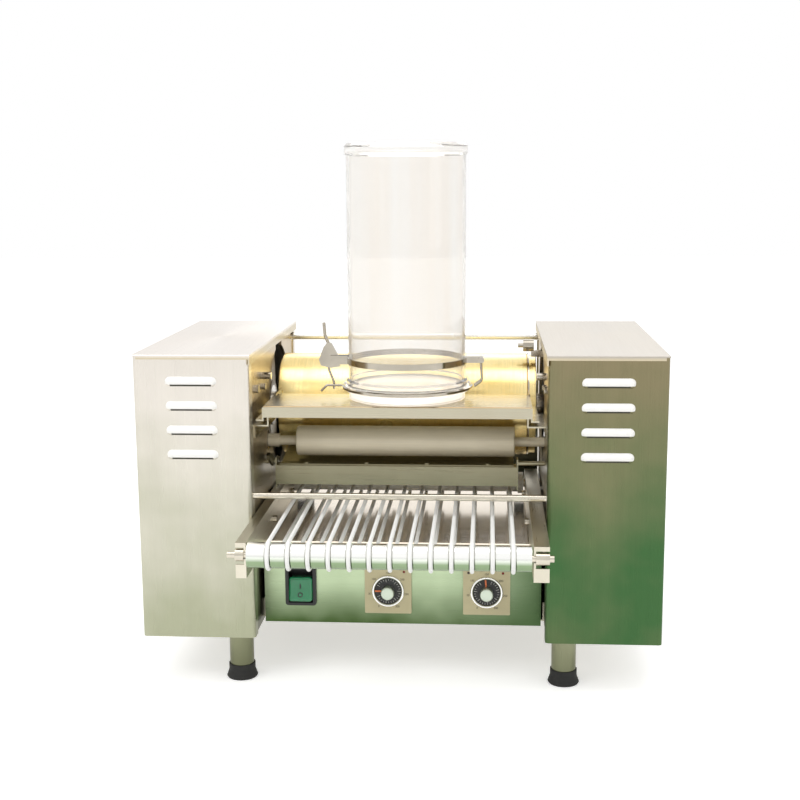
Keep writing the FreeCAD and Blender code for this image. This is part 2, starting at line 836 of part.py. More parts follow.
def scraper_carrier():
    y, z = scraper_axis
    face_y = y - 7
    face = box(scraper_left, scraper_right, face_y, face_y + scraper_sheet, scraper_face_low, scraper_face_high)
    shelf = box(scraper_left, scraper_right, face_y, y + 10, scraper_face_high - scraper_sheet,
                scraper_face_high)
    lip = box(scraper_left, scraper_right, face_y, y + 4, scraper_face_low, scraper_face_low + scraper_sheet)
    cheek_points = [(face_y, scraper_face_low - 4), (y + 2, scraper_face_low - 4), (y + 11, z - 5),
                    (y + 6, z + 5), (face_y, z + 5)]
    cheeks = [sheet_along_x(scraper_left - scraper_sheet, scraper_left, cheek_points),
              sheet_along_x(scraper_right, scraper_right + scraper_sheet, cheek_points)]
    pins = [rod_x(-wall_out, scraper_left - scraper_sheet, y, z, scraper_pin_radius),
            rod_x(scraper_right + scraper_sheet, wall_out, y, z, scraper_pin_radius)]
    lever_root = scraper_left - scraper_sheet - 5
    lever = sheet_along_x(lever_root, lever_root + 3,
                          [(y + 4, z - 4), (y + 4, z + 4), (y - 26, z + 15), (y - 31, z + 12), (y - 28, z + 8),
                           (y - 4, z - 4)])
    whole = face.fuse([shelf, lip] + cheeks + pins + [lever])
    return whole.removeSplitter()


def scraper_blade():
    tip_y, tip_z = scraper_tip()
    start_y = scraper_axis[0] - 2
    start_z = scraper_face_high
    flat_end = scraper_axis[0] + 10
    outline = [(start_y, start_z), (flat_end, start_z), (tip_y, tip_z - blade_sheet), (tip_y, tip_z - 0.2),
               (flat_end, start_z + blade_sheet), (start_y, start_z + blade_sheet)]
    blade = sheet_along_x(scraper_left + 3, scraper_right - 3, outline)
    screws = []
    pitch = (scraper_right - scraper_left - 2 * blade_screw_inset) / (blade_screw_count - 1)
    for number in range(blade_screw_count):
        x = scraper_left + blade_screw_inset + number * pitch
        screws.append(rod_z(start_z + blade_sheet, start_z + blade_sheet + 1.2, x, scraper_axis[0] + 3, 3))
    return blade.fuse(screws)


# Tray and canister
def tray_nip():
    """Where the sloping rear of the tray ends, just in front of the drum."""
    nip_z = tray_skirt_low
    run = math.sqrt(drum_radius ** 2 - (nip_z - drum_axis[1]) ** 2)
    return (drum_axis[0] - run - drum_clearance, nip_z)


def batter_tray():
    y0 = back(tray_front)
    y1 = back(tray_slope_start)
    nip_y, nip_z = tray_nip()
    t = tray_sheet
    outline = [(y0, tray_skirt_low), (y0, tray_rim - 0.8), (y0 + 0.8, tray_rim), (y0 + 2.5, tray_rim),
               (y0 + 4, tray_floor), (y1, tray_floor), (nip_y, nip_z), (nip_y, nip_z - t),
               (y1, tray_floor - t), (y0 + t, tray_floor - t), (y0 + t, tray_skirt_low)]
    pan = sheet_along_x(tray_left, tray_right, outline)
    cheek_outline = [(y1 - 6, tray_floor - t), (y1 - 6, tray_rim), (nip_y, tray_rim), (nip_y, nip_z - t),
                     (y1, tray_floor - t)]
    pieces = []
    for edge, outward in ((tray_left, -1), (tray_right, 1)):
        x0, x1 = sorted((edge, edge + outward * t))
        pieces.append(sheet_along_x(x0, x1, cheek_outline))
        pieces.append(box(x0, x1, y0, y1, tray_hook_low, tray_floor))
        hook_x0, hook_x1 = sorted((edge, edge + outward * tray_hook_reach))
        pieces.append(box(hook_x0, hook_x1, y0, y1, tray_hook_low, tray_hook_low + t))
    return pan.fuse(pieces).removeSplitter()


def tray_bracket(wall_side, tray_edge):
    """A trough on the inner wall: its upturned leg carries the tray inside the hooked end."""
    outward = 1 if tray_edge > 0 else -1
    leg = tray_edge - outward * bracket_inset
    y0 = back(tray_front) + 8
    y1 = back(tray_slope_start) - 6
    t = tray_sheet
    x0, x1 = sorted((leg, wall_side))
    shelf = box(x0, x1, y0, y1, tray_bracket_low, tray_bracket_low + t)
    leg_x0, leg_x1 = sorted((leg, leg + outward * t))
    upturn = box(leg_x0, leg_x1, y0, y1, tray_bracket_low, tray_floor - t)
    wall_x0, wall_x1 = sorted((wall_side, wall_side - outward * t))
    flange = box(wall_x0, wall_x1, y0, y1, tray_bracket_low - 12, tray_bracket_low + t)
    return shelf.fuse([upturn, flange]).removeSplitter()


def canister_body():
    r = canister_radius
    rim = r + rim_proud
    bore = r - canister_wall
    z1 = canister_top
    outline = [(bore, body_low), (r + 2, body_low), (r + 2, body_low + 4), (r, body_low + 6),
               (r, z1 - rim_height), (rim, z1 - rim_height + 2), (rim, z1 - 2.5), (rim - 2.5, z1), (0, z1),
               (0, z1 - canister_end), (bore, z1 - canister_end)]
    return revolve_z(canister_x, canister_y, outline)


def canister_lid():
    r = lid_radius
    foot_top = lid_low + lid_foot_height
    outline = [(lid_hole_radius, lid_low), (lid_foot_radius, lid_low), (lid_foot_radius, foot_top),
               (r - 4, foot_top + 0.5), (r - 4, lid_top - 6), (r, lid_top - 4), (r, lid_top), (r - 6, lid_top),
               (r - 6, lid_low + 4), (lid_hole_radius, lid_low + 4)]
    return revolve_z(canister_x, canister_y, outline)


def canister_gasket():
    outer = canister_radius + 1
    inner = canister_radius - canister_wall
    return revolve_z(canister_x, canister_y, [(inner, lid_top), (outer, lid_top), (outer, body_low),
                                              (inner, body_low)])


def band_clamp():
    """The steel band, with the toggle's lug on the left and the hinge's lug on the right."""
    r = canister_radius + running_gap
    band = revolve_z(canister_x, canister_y, [(r, band_low), (r + band_sheet, band_low),
                                              (r + band_sheet, band_low + band_height),
                                              (r, band_low + band_height)])
    y0 = canister_y - 4.2
    y1 = canister_y + 4.2
    reach_left = canister_x - r - 0.5
    ears = []
    for ear_y in (y0, y1 - 1.2):
        ears.append(box(-toggle_pivot_out - 4, reach_left, ear_y, ear_y + 1.2, band_low - 2,
                        band_low + band_height + 1))
    hinge_x = canister_x + r + 0.5
    hinge = box(hinge_x, hinge_x + 14, y0, y1, band_low, band_low + band_height)
    roll = rod_y(y0 - 2, y1 + 2, hinge_x + 15, band_low + band_height / 2, 3.2)
    pin = rod_y(y0, y1, -toggle_pivot_out, toggle_pivot_height, toggle_pin_radius)
    return band.fuse(ears + [hinge, roll, pin]).removeSplitter()


def lid_ring_wire():
    """A wire ring round the lid, with a tail on the left that the pull wire hooks beside."""
    middle = ring_radius + slip / 2
    corners = [math.radians(60 * number) for number in range(6)]
    ring = revolve_z(canister_x, canister_y, [(middle + ring_wire_radius * math.sin(corner),
                                               ring_height + ring_wire_radius * math.cos(corner))
                                              for corner in corners])
    y = canister_y - tail_aside
    start_x = canister_x - middle
    tail = wire([V(start_x, y, ring_height), V(start_x - tail_run, y, ring_height),
                 V(start_x - tail_run - 6, y, ring_height - 6)], thin_wire_radius, 3.0)
    return ring.fuse(tail).removeSplitter()


def hinge_wires():
    """Two wires from the hinge lug down to the ring round the lid."""
    top_x = canister_x + canister_radius + 15.5
    foot_x = canister_x + ring_radius + ring_wire_radius + thin_wire_radius + slip
    top_z = band_low - 0.5
    wires = []
    for side in (-1, 1):
        y = canister_y + side * 5
        points = [V(top_x, y, top_z), V(top_x + 1, y, ring_height + 6), V(foot_x, y, ring_height)]
        wires.append(wire(points, thin_wire_radius, 4.0))
    return wires


def toggle_lever():
    """A teardrop plate between the lug's ears, with a bent wire handle that points up when shut."""
    half = toggle_half_width
    px, pz = -toggle_pivot_out, toggle_pivot_height
    corners = [(px + 5.5, pz - 5), (px + 5, pz + 4), (px - 3, pz + 19), (px - 7, pz + 20), (px - 11, pz + 15),
               (px - 16, pz + 2), (px - 14, pz - 4), (px - 4, pz - 6.5)]
    points = [V(x, canister_y - half, z) for x, z in corners]
    plate = Part.Face(Part.makePolygon(points + points[:1])).extrude(V(0, 2 * half, 0))
    fork = box(px - 25, -pull_out + pull_eye_radius + slip, canister_y - half + fork_sheet,
               canister_y + half - fork_sheet, pz - 25, pull_height + pull_eye_radius + 3.5)
    plate = plate.cut(fork).cut(rod_y(canister_y - half - 1, canister_y + half + 1, px, pz,
                                      toggle_pin_radius + running_gap))
    pin = rod_y(canister_y - half, canister_y + half, -pull_out, pull_height, pull_pin_radius)
    handle = wire([V(px - 5.5, canister_y, pz + 17), V(px - 9.5, canister_y, pz + 27),
                   V(px - 10.5, canister_y, pz + 40)], 1.6, 8.0)
    return plate.fuse([pin, handle]).removeSplitter()


def toggle_pull_wire():
    """Hangs from the lever's pin and ends beside the tail of the ring."""
    half = toggle_half_width - fork_sheet - slip
    eye = rod_y(canister_y - half, canister_y + half, -pull_out, pull_height, pull_eye_radius)
    drop = wire([V(-pull_out, canister_y, pull_height), V(-pull_out, canister_y, ring_height + 16),
                 V(-pull_out + 5, canister_y, ring_height + 3), V(-pull_out + 5, canister_y, ring_height - 4)],
                thin_wire_radius, 3.0)
    bore = rod_y(canister_y - half - 1, canister_y + half + 1, -pull_out, pull_height,
                 pull_pin_radius + running_gap)
    return eye.fuse(drop).cut(bore).removeSplitter()


# Conveyor
def cord_places():
    return [cord_first + number * cord_pitch for number in range(cord_count)]


def grooved_roller(axis, bore):
    """The front roller: a V groove under each cord."""
    y, z = axis
    depth = roller_radius - groove_root_radius
    outline = [(roller_left, bore), (roller_left, roller_radius)]
    for x in cord_places():
        outline += [(x - groove_half_width, roller_radius), (x, roller_radius - depth),
                    (x + groove_half_width, roller_radius)]
    outline += [(roller_right, roller_radius), (roller_right, bore)]
    return revolve_x(y, z, outline)


def flanged_roller(axis, bore):
    """The rear roller: plain under the cords, with a raised flange at each end."""
    y, z = axis
    plain = cord_line_radius - cord_radius - slip
    outline = [(roller_left, bore), (roller_left, roller_radius), (roller_left + roller_flange, roller_radius),
               (roller_left + roller_flange, plain), (roller_right - roller_flange, plain),
               (roller_right - roller_flange, roller_radius), (roller_right, roller_radius),
               (roller_right, bore)]
    return revolve_x(y, z, outline)


def conveyor_cord(x):
    """One endless cord: two straight runs, and a half turn of short runs round each roller."""
    step = 180.0 / cord_turn_steps
    corner_radius = cord_line_radius / math.cos(math.radians(step / 2))
    path = []
    for centre_y, first in ((front_axis[0], 90.0), (rear_axis[0], 270.0)):
        for number in range(cord_turn_steps):
            angle = math.radians(first + (number + 0.5) * step)
            path.append(V(x, centre_y + corner_radius * math.cos(angle),
                          roller_height + corner_radius * math.sin(angle)))
    side = cord_radius / math.cos(math.radians(180.0 / cord_sides))
    angles = [2 * math.pi * (number + 0.5) / cord_sides for number in range(cord_sides)]
    return mitred_ring(path, [(side * math.cos(angle), side * math.sin(angle)) for angle in angles])


def front_roller_shaft():
    y, z = front_axis
    shaft = rod_x(shaft_left, shaft_right, y, z, roller_shaft_radius)
    collars = [rod_x(plate_flange_left, plate_left - plate_sheet, y, z, collar_radius),
               rod_x(plate_right + plate_sheet, plate_flange_right, y, z, collar_radius)]
    return shaft.fuse(collars).removeSplitter()


def rear_roller_shaft():
    y, z = rear_axis
    return rod_x(-wall_out - 5, shaft_end, y, z, small_shaft_radius)


def conveyor_plate(inner_face, flange_edge):
    """A folded side plate: web, outward top flange, and a front flange notched for the shaft."""
    outward = 1 if inner_face > 0 else -1
    y0 = front_axis[0] - plate_sheet
    y1 = rear_axis[0] + roller_radius + 8
    t = plate_sheet
    web_x0, web_x1 = sorted((inner_face, inner_face + outward * t))
    flange_x0, flange_x1 = sorted((inner_face, flange_edge))
    web = box(web_x0, web_x1, y0, y1, plate_low, plate_top)
    top = box(flange_x0, flange_x1, y0, y1, plate_top - t, plate_top)
    nose = box(flange_x0, flange_x1, y0, y0 + t, plate_low, plate_top)
    plate = web.fuse([top, nose]).removeSplitter()
    notch = box(flange_x0 - 1, flange_x1 + 1, y0 - 1, y0 + t + 5, notch_low, notch_high)
    web_notch = box(web_x0 - 1, web_x1 + 1, y0 - 1, front_axis[0], roller_height - roller_shaft_radius - 0.1,
                    roller_height + roller_shaft_radius + 0.1)
    seat = rod_x(web_x0 - 1, web_x1 + 1, front_axis[0], roller_height, roller_shaft_radius + 0.1)
    kept_web = box(web_x0, web_x1, y0 - 1, y0 + t + 5, notch_low, notch_high)
    plate = plate.cut(notch.cut(kept_web)).cut(web_notch).cut(seat)
    rear_hole = rod_x(web_x0 - 1, web_x1 + 1, rear_axis[0], rear_axis[1], small_shaft_radius + slip)
    return plate.cut(rear_hole)


def conveyor_fixings():
    """Spacers between the side plates and the walls, their bolts, and the idler's stud."""
    pieces = []
    left_gap = (-wall_x, plate_left - plate_sheet)
    right_gap = (plate_right + plate_sheet, wall_x)
    z = roller_height - spacer_drop
    for depth in (spacer_front_depth, spacer_rear_depth):
        for x0, x1, bolt_x in (left_gap + (plate_left,), right_gap + (plate_right - bolt_head_length,)):
            pieces.append(rod_x(x0, x1, back(depth), z, spacer_radius))
            pieces.append(rod_x(bolt_x, bolt_x + bolt_head_length, back(depth), z, bolt_head_radius))
    y, z = idler_axis
    stud = rod_x(wall_out, gear_end + 1, y, z, small_shaft_radius)
    shoulder = rod_x(wall_out, gear_x - slip, y, z, small_shaft_radius + 3)
    pieces.append(stud.fuse(shoulder))
    return pieces


# Small fittings on the inner walls
def wall_fittings():
    pieces = []
    for side in (-1, 1):
        for depth, above, radius, length in wall_screws:
            x0, x1 = sorted((side * wall_x, side * (wall_x - length)))
            pieces.append(rod_x(x0, x1, back(depth), tray_rim + above, radius))
    y = back(probe_depth)
    collar = rod_x(probe_left + 5.5, probe_right, y, probe_height, probe_collar_radius)
    block = box(probe_right - 3, wall_x, y - 4, y + 4, probe_height - 12, probe_height - probe_collar_radius + 1)
    bore = rod_x(probe_left, probe_right + 1, y, probe_height, probe_radius + running_gap)
    pieces.append(block.fuse(collar).cut(bore).removeSplitter())
    return pieces


def temperature_probe():
    return rod_x(probe_left, probe_right, back(probe_depth), probe_height, probe_radius)


# Controls
def switch_bezel():
    y0 = back(panel_depth)
    x0, x1 = switch_x - switch_width / 2, switch_x + switch_width / 2
    z0, z1 = switch_low, switch_low + switch_height
    frame = box(x0, x1, y0 - 3.5, y0, z0, z1)
    frame = round_edges(frame, 3, lambda edge: is_along(edge, V(0, 1, 0)))
    body = box(x0 + 3.2, x1 - 3.2, y0, y0 + 22, z0 + 3.2, z1 - 3.2)
    half = rocker_width / 2 + slip
    middle = (z0 + z1) / 2
    well_half = rocker_height / 2 + 1.1
    well = box(switch_x - half, switch_x + half, y0 - 5, y0 + 12, middle - well_half, middle + well_half)
    bore = rod_x(x0, x1, y0 + rocker_pivot_depth, middle, rocker_pin_radius + running_gap)
    return frame.fuse(body).cut(well).cut(bore).removeSplitter()


def rocker():
    """Two gently sloped halves; the upper half is pressed in, so the lower one stands out."""
    y0 = back(panel_depth)
    middle = switch_low + switch_height / 2
    half = rocker_height / 2
    outline = [(y0 - 6.5, middle - half), (y0 - 3.8, middle), (y0 - 6.5, middle + half),
               (y0 + 1, middle + half), (y0 + 6, middle + 6), (y0 + 6, middle - 6), (y0 + 1, middle - half)]
    half_width = rocker_width / 2
    body = sheet_along_x(switch_x - half_width, switch_x + half_width, outline)
    pivot_y = y0 + rocker_pivot_depth
    pins = rod_x(switch_x - half_width - rocker_pin_reach, switch_x + half_width + rocker_pin_reach, pivot_y,
                 middle, rocker_pin_radius)
    body.rotate(V(0, pivot_y, middle), V(1, 0, 0), rocker_tilt)
    return body.fuse(pins).removeSplitter()


def thermostat(x):
    y0 = back(panel_depth)
    half = dial_size / 2
    z = dial_low + half
    face = box(x - half, x + half, y0 - dial_face, y0, z - half, z + half)
    face = round_edges(face, 1.2, lambda edge: is_along(edge, V(0, 1, 0)))
    body_half = dial_body_size / 2
    body = box(x - body_half, x + body_half, y0, y0 + dial_body_depth, z - body_half, z + body_half)
    ring = rod_y(y0 - dial_face - 1.6, y0 - dial_face + 1, x, z, dial_ring_radius)
    well = rod_y(y0 - dial_face - 3, y0 - dial_face + 1.2, x, z, dial_skirt_radius + slip)
    shaft_hole = rod_y(y0 - dial_face - 3, y0 + 8, x, z, 2.05)
    return face.fuse([body, ring]).cut(well).cut(shaft_hole).removeSplitter()


def dial(x, angle):
    """The turning dial: a skirt for the numbers, a knob and a pointer."""
    y0 = back(panel_depth) - dial_face
    z = dial_low + dial_size / 2
    skirt = rod_y(y0 - 0.7, y0 + 0.8, x, z, dial_skirt_radius)
    knob = rod_y(y0 - dial_knob_height, y0, x, z, dial_knob_radius)
    knob = knob.makeChamfer(0.8, [edge for edge in knob.Edges if isinstance(edge.Curve, Part.Circle)
                                  and edge.BoundBox.YMax < y0 - 1])
    shaft = rod_y(y0, y0 + 10, x, z, 2.0)
    pointer = box(x - 0.6, x + 0.6, y0 - 1.5, y0, z + dial_knob_radius - 1, z + dial_skirt_radius - 0.5)
    whole = skirt.fuse([knob, shaft, pointer])
    whole.rotate(V(x, y0, z), V(0, 1, 0), angle)
    return whole


# Drive and electrics
def gearmotor():
    y, z = pinion_axis
    gearbox_end = motor_face + gearbox_length
    motor_end = gearbox_end + motor_length
    gearbox = rod_x(motor_face, gearbox_end, y, z, gearbox_radius)
    motor = rod_x(gearbox_end, motor_end, y, z, motor_radius)
    cap = rod_x(motor_end, motor_end + motor_cap_length, y, z, motor_cap_radius)
    bore = rod_x(motor_face - 1, gearbox_end - 8, y, z, small_shaft_radius + running_gap)
    return gearbox.fuse([motor, cap]).cut(bore).removeSplitter()


def motor_bracket():
    y, z = pinion_axis
    x0 = motor_face - wall_sheet
    plate = box(x0, motor_face, y - motor_bracket_front, y + motor_bracket_rear, z - motor_bracket_low,
                z + motor_bracket_top)
    plate = round_edges(plate, 6, lambda edge: is_along(edge, V(1, 0, 0)))
    places = ((motor_bracket_rear - 9, motor_bracket_top - 10), (motor_bracket_rear - 9, -40),
              (0, 10 - motor_bracket_low))
    posts = [rod_x(wall_out, x0 + 1, y + dy, z + dz, bracket_post_radius) for dy, dz in places]
    plate = plate.cut(rod_x(x0 - 1, motor_face + 1, y, z, small_shaft_radius + 4))
    return plate.fuse(posts).removeSplitter()


def terminal_block():
    """A row of terminals on the floor of the left housing."""
    x0 = terminal_inset - outer_x
    y0 = back(terminal_depth)
    z0 = floor_gap + cover_sheet
    block = box(x0, x0 + terminal_width, y0, y0 + terminal_count * terminal_pitch + 2, z0, z0 + 10)
    for number in range(terminal_count):
        y = y0 + 8 + number * terminal_pitch
        block = block.fuse(box(x0 + 5, x0 + terminal_width - 5, y - 5, y + 5, z0 + 10, z0 + 18))
    return block


def build():
    os.makedirs("parts", exist_ok=True)
    cover, lid, floor_plate, panel, wall, bracket = (side_cover(), top_cover(), bottom_plate(), rear_panel(),
                                                     inner_wall(), drum_bracket())
    for side in ("left", "right"):
        save(side + "_cover", on_side(cover, side))
        save(side + "_top_cover", on_side(lid, side))
        save(side + "_inner_wall", on_side(wall, side))
    save("bottom_plates", floor_plate, mirrored(floor_plate))
    save("rear_panels", panel, mirrored(panel))
    save("drum_brackets", bracket, mirrored(bracket))
    save("leg_tubes", *[leg_tube(x, y) for x, y in leg_places()])
    save("rubber_feet", *[rubber_foot(x, y) for x, y in leg_places()])
    save("rear_tie_rod", rod_x(-wall_x, wall_x, back(rear_rod_depth), rear_rod_height, rear_rod_radius))
    save("front_guard_rod", rod_x(-inner_x, inner_x, back(front_rod_depth), front_rod_height,
                                  front_rod_radius))

    save("control_panel", control_panel())
    save("base_deck", base_deck())
    save("base_bottom_plate", base_bottom_plate())
    save("base_back_panel", base_back_panel())
    save("power_inlet", power_inlet())
    save("terminal_block", terminal_block())

    save("drum_shell", drum_shell())
    save("drum_end_left", drum_end("left"))
    save("drum_end_right", drum_end("right"))
    save("shaft_bearings", *shaft_bearings())
    save("heater_carrier", heater_carrier())
    save("heater_rods", *heater_rods())

    takeoff_phase = meshed_phase(drum_axis, drum_teeth, 0.0, takeoff_axis, takeoff_teeth)
    pinion_phase = meshed_phase(drum_axis, drum_teeth, 0.0, pinion_axis, pinion_teeth)
    idler_phase = meshed_phase(pinion_axis, pinion_teeth, pinion_phase, idler_axis, idler_teeth)
    conveyor_phase = meshed_phase(idler_axis, idler_teeth, idler_phase, rear_axis, conveyor_teeth)
    save("drum_gear", gear(drum_axis, drum_teeth, 0.0, stub_radius))
    save("takeoff_gear", gear(takeoff_axis, takeoff_teeth, takeoff_phase, small_shaft_radius))
    pinion = gear(pinion_axis, pinion_teeth, pinion_phase, small_shaft_radius - 1)
    pinion_shaft = rod_x(gear_x - 2, motor_face + gearbox_length - 10, pinion_axis[0], pinion_axis[1],
                         small_shaft_radius)
    save("motor_pinion", pinion.fuse(pinion_shaft).removeSplitter())
    save("idler_gear", gear(idler_axis, idler_teeth, idler_phase, small_shaft_radius + running_gap))
    save("conveyor_gear", gear(rear_axis, conveyor_teeth, conveyor_phase, small_shaft_radius))
    save("gearmotor", gearmotor())
    save("motor_bracket", motor_bracket())

    save("takeoff_roller", takeoff_roller())
    save("scraper_carrier", scraper_carrier())
    save("scraper_blade", scraper_blade())

    save("batter_tray", batter_tray())
    save("tray_brackets", tray_bracket(-wall_x, tray_left), tray_bracket(wall_x, tray_right))
    save("canister_body", canister_body())
    save("canister_lid", canister_lid())
    save("canister_gasket", canister_gasket())
    save("band_clamp", band_clamp())
    save("lid_ring_wire", lid_ring_wire())
    save("hinge_wires", *hinge_wires())
    save("toggle_lever", toggle_lever())
    save("toggle_pull_wire", toggle_pull_wire())

    save("front_roller", grooved_roller(front_axis, roller_shaft_radius + running_gap))
    save("front_roller_shaft", front_roller_shaft())
    save("rear_roller", flanged_roller(rear_axis, small_shaft_radius))
    save("rear_roller_shaft", rear_roller_shaft())
    save("conveyor_cords", *[conveyor_cord(x) for x in cord_places()])
    save("conveyor_plate_left", conveyor_plate(plate_left, plate_flange_left))
    save("conveyor_plate_right", conveyor_plate(plate_right, plate_flange_right))
    save("conveyor_fixings", *conveyor_fixings())
    save("wall_fittings", temperature_probe(), *wall_fittings())

    save("switch_bezel", switch_bezel())
    save("rocker", rocker())
    save("thermostat_left", thermostat(dial_left_x))
    save("thermostat_right", thermostat(dial_right_x))
    save("dial_left", dial(dial_left_x, dial_left_angle))
    save("dial_right", dial(dial_right_x, dial_right_angle))


build()
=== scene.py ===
"""Looks of a drum crepe maker, built round its fixed frame. Metres; +Z up, front towards -Y."""
import json
import math

import bmesh
import bpy
from mathutils import Matrix, Vector


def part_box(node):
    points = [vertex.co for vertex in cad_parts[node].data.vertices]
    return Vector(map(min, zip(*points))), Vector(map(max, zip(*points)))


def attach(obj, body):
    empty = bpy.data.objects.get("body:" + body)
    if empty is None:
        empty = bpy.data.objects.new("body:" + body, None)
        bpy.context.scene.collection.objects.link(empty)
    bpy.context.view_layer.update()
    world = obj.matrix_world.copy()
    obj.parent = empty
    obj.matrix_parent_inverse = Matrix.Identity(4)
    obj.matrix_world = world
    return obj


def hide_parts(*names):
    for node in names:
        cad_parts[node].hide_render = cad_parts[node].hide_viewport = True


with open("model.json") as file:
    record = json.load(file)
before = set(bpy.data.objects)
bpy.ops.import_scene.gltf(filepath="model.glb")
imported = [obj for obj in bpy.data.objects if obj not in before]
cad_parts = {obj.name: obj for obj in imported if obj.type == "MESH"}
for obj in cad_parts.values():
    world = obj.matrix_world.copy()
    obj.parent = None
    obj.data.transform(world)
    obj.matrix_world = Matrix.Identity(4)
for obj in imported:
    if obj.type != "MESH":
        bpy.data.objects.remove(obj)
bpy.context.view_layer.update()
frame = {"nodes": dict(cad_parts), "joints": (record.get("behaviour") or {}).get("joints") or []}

nodes = frame["nodes"]
MM = 0.001
FORWARD = (0, -1, 0)
BACKWARD = (0, 1, 0)


# Camera, fitted to the corners of the housings in an 800 pixel frame
FOCAL_PIXELS = 1259.0
FRAME_PIXELS = 800.0
SENSOR_MM = 36.0
CAMERA_PLACE = Vector((0.0867, -1.2949, 0.5062))
CAMERA_YAW = math.radians(-4.03)
CAMERA_PITCH = math.radians(9.92)
CAMERA_ROLL = math.radians(-0.38)


def add_camera():
    forward = Vector((math.sin(CAMERA_YAW) * math.cos(CAMERA_PITCH),
                      math.cos(CAMERA_YAW) * math.cos(CAMERA_PITCH),
                      -math.sin(CAMERA_PITCH)))
    level = Vector((math.cos(CAMERA_YAW), -math.sin(CAMERA_YAW), 0.0))
    upright = level.cross(forward)
    right = math.cos(CAMERA_ROLL) * level + math.sin(CAMERA_ROLL) * upright
    up = math.cos(CAMERA_ROLL) * upright - math.sin(CAMERA_ROLL) * level
    data = bpy.data.cameras.new("photo_camera")
    data.sensor_width = SENSOR_MM
    data.lens = SENSOR_MM * FOCAL_PIXELS / FRAME_PIXELS
    data.clip_start = 0.01
    camera = bpy.data.objects.new("photo_camera", data)
    turn = Matrix((right, up, -forward)).transposed().to_4x4()
    camera.matrix_world = Matrix.Translation(CAMERA_PLACE) @ turn
    bpy.context.scene.collection.objects.link(camera)
    bpy.context.scene.camera = camera


# Shader helpers
NOISE_HALF = 0.2


def linear(red, green, blue):
    """A colour written as 0 to 255 display values, as the shader wants it."""
    parts = []
    for value in (red, green, blue):
        value = value / 255
        parts.append(value / 12.92 if value <= 0.04045 else ((value + 0.055) / 1.055) ** 2.4)
    return (*parts, 1.0)


class Shader:
    """Short names for building one material's nodes."""

    def __init__(self, name):
        self.material = bpy.data.materials.new(name)
        self.material.use_nodes = True
        self.tree = self.material.node_tree
        self.surface = self.tree.nodes["Principled BSDF"]

    def add(self, kind, **values):
        node = self.tree.nodes.new(kind)
        for key, value in values.items():
            setattr(node, key, value)
        return node

    def join(self, output, target):
        self.tree.links.new(output, target)

    def set(self, **values):
        """Sets values that are the same all over the surface."""
        names = {"colour": "Base Color", "metallic": "Metallic", "roughness": "Roughness", "ior": "IOR",
                 "transmission": "Transmission Weight", "coat": "Coat Weight", "anisotropic": "Anisotropic",
                 "specular": "Specular IOR Level", "glow": "Emission Strength",
                 "glow_colour": "Emission Color"}
        for key, value in values.items():
            self.surface.inputs[names[key]].default_value = value

    def place(self, scale=(1, 1, 1), offset=(0, 0, 0)):
        """The surface point in the object's own space, stretched and moved."""
        coords = self.add("ShaderNodeTexCoord")
        mapping = self.add("ShaderNodeMapping")
        mapping.inputs["Scale"].default_value = scale
        mapping.inputs["Location"].default_value = offset
        self.join(coords.outputs["Object"], mapping.inputs["Vector"])
        return mapping.outputs["Vector"]

    def noise(self, scale, stretch=(1, 1, 1), detail=4.0, rough=0.6, offset=(0, 0, 0)):
        node = self.add("ShaderNodeTexNoise")
        node.inputs["Scale"].default_value = scale
        node.inputs["Detail"].default_value = detail
        node.inputs["Roughness"].default_value = rough
        self.join(self.place(stretch, offset), node.inputs["Vector"])
        return node.outputs["Fac"]

    def remap(self, value, low, high, to_low, to_high):
        node = self.add("ShaderNodeMapRange")
        node.inputs["From Min"].default_value = low
        node.inputs["From Max"].default_value = high
        node.inputs["To Min"].default_value = to_low
        node.inputs["To Max"].default_value = to_high
        self.join(value, node.inputs["Value"])
        return node.outputs["Result"]

    def mix(self, factor, first, second):
        """A colour between first and second; the node's colour sockets are numbers 6, 7 and 2."""
        node = self.add("ShaderNodeMix", data_type="RGBA")
        for value, socket in ((factor, node.inputs[0]), (first, node.inputs[6]), (second, node.inputs[7])):
            if isinstance(value, tuple):
                socket.default_value = value
            else:
                self.join(value, socket)
        return node.outputs[2]

    def spread(self, noise, to_low, to_high, half=NOISE_HALF):
        """Spreads a noise, whose values crowd round one half, from to_low to to_high."""
        return self.remap(noise, 0.5 - half, 0.5 + half, to_low, to_high)

    def vary(self, colour, noise, amount, half=NOISE_HALF):
        """Makes a colour darker and lighter by up to amount, as the noise goes."""
        node = self.add("ShaderNodeHueSaturation")
        if isinstance(colour, tuple):
            node.inputs["Color"].default_value = colour
        else:
            self.join(colour, node.inputs["Color"])
        self.join(self.spread(noise, 1.0 - amount, 1.0 + amount, half), node.inputs["Value"])
        return node.outputs["Color"]

    def axis(self, name):
        """One coordinate of the surface point."""
        split = self.add("ShaderNodeSeparateXYZ")
        self.join(self.place(), split.inputs["Vector"])
        return split.outputs[name]

    def bump(self, height, strength, distance):
        node = self.add("ShaderNodeBump")
        node.inputs["Strength"].default_value = strength
        node.inputs["Distance"].default_value = distance
        self.join(height, node.inputs["Height"])
        self.join(node.outputs["Normal"], self.surface.inputs["Normal"])


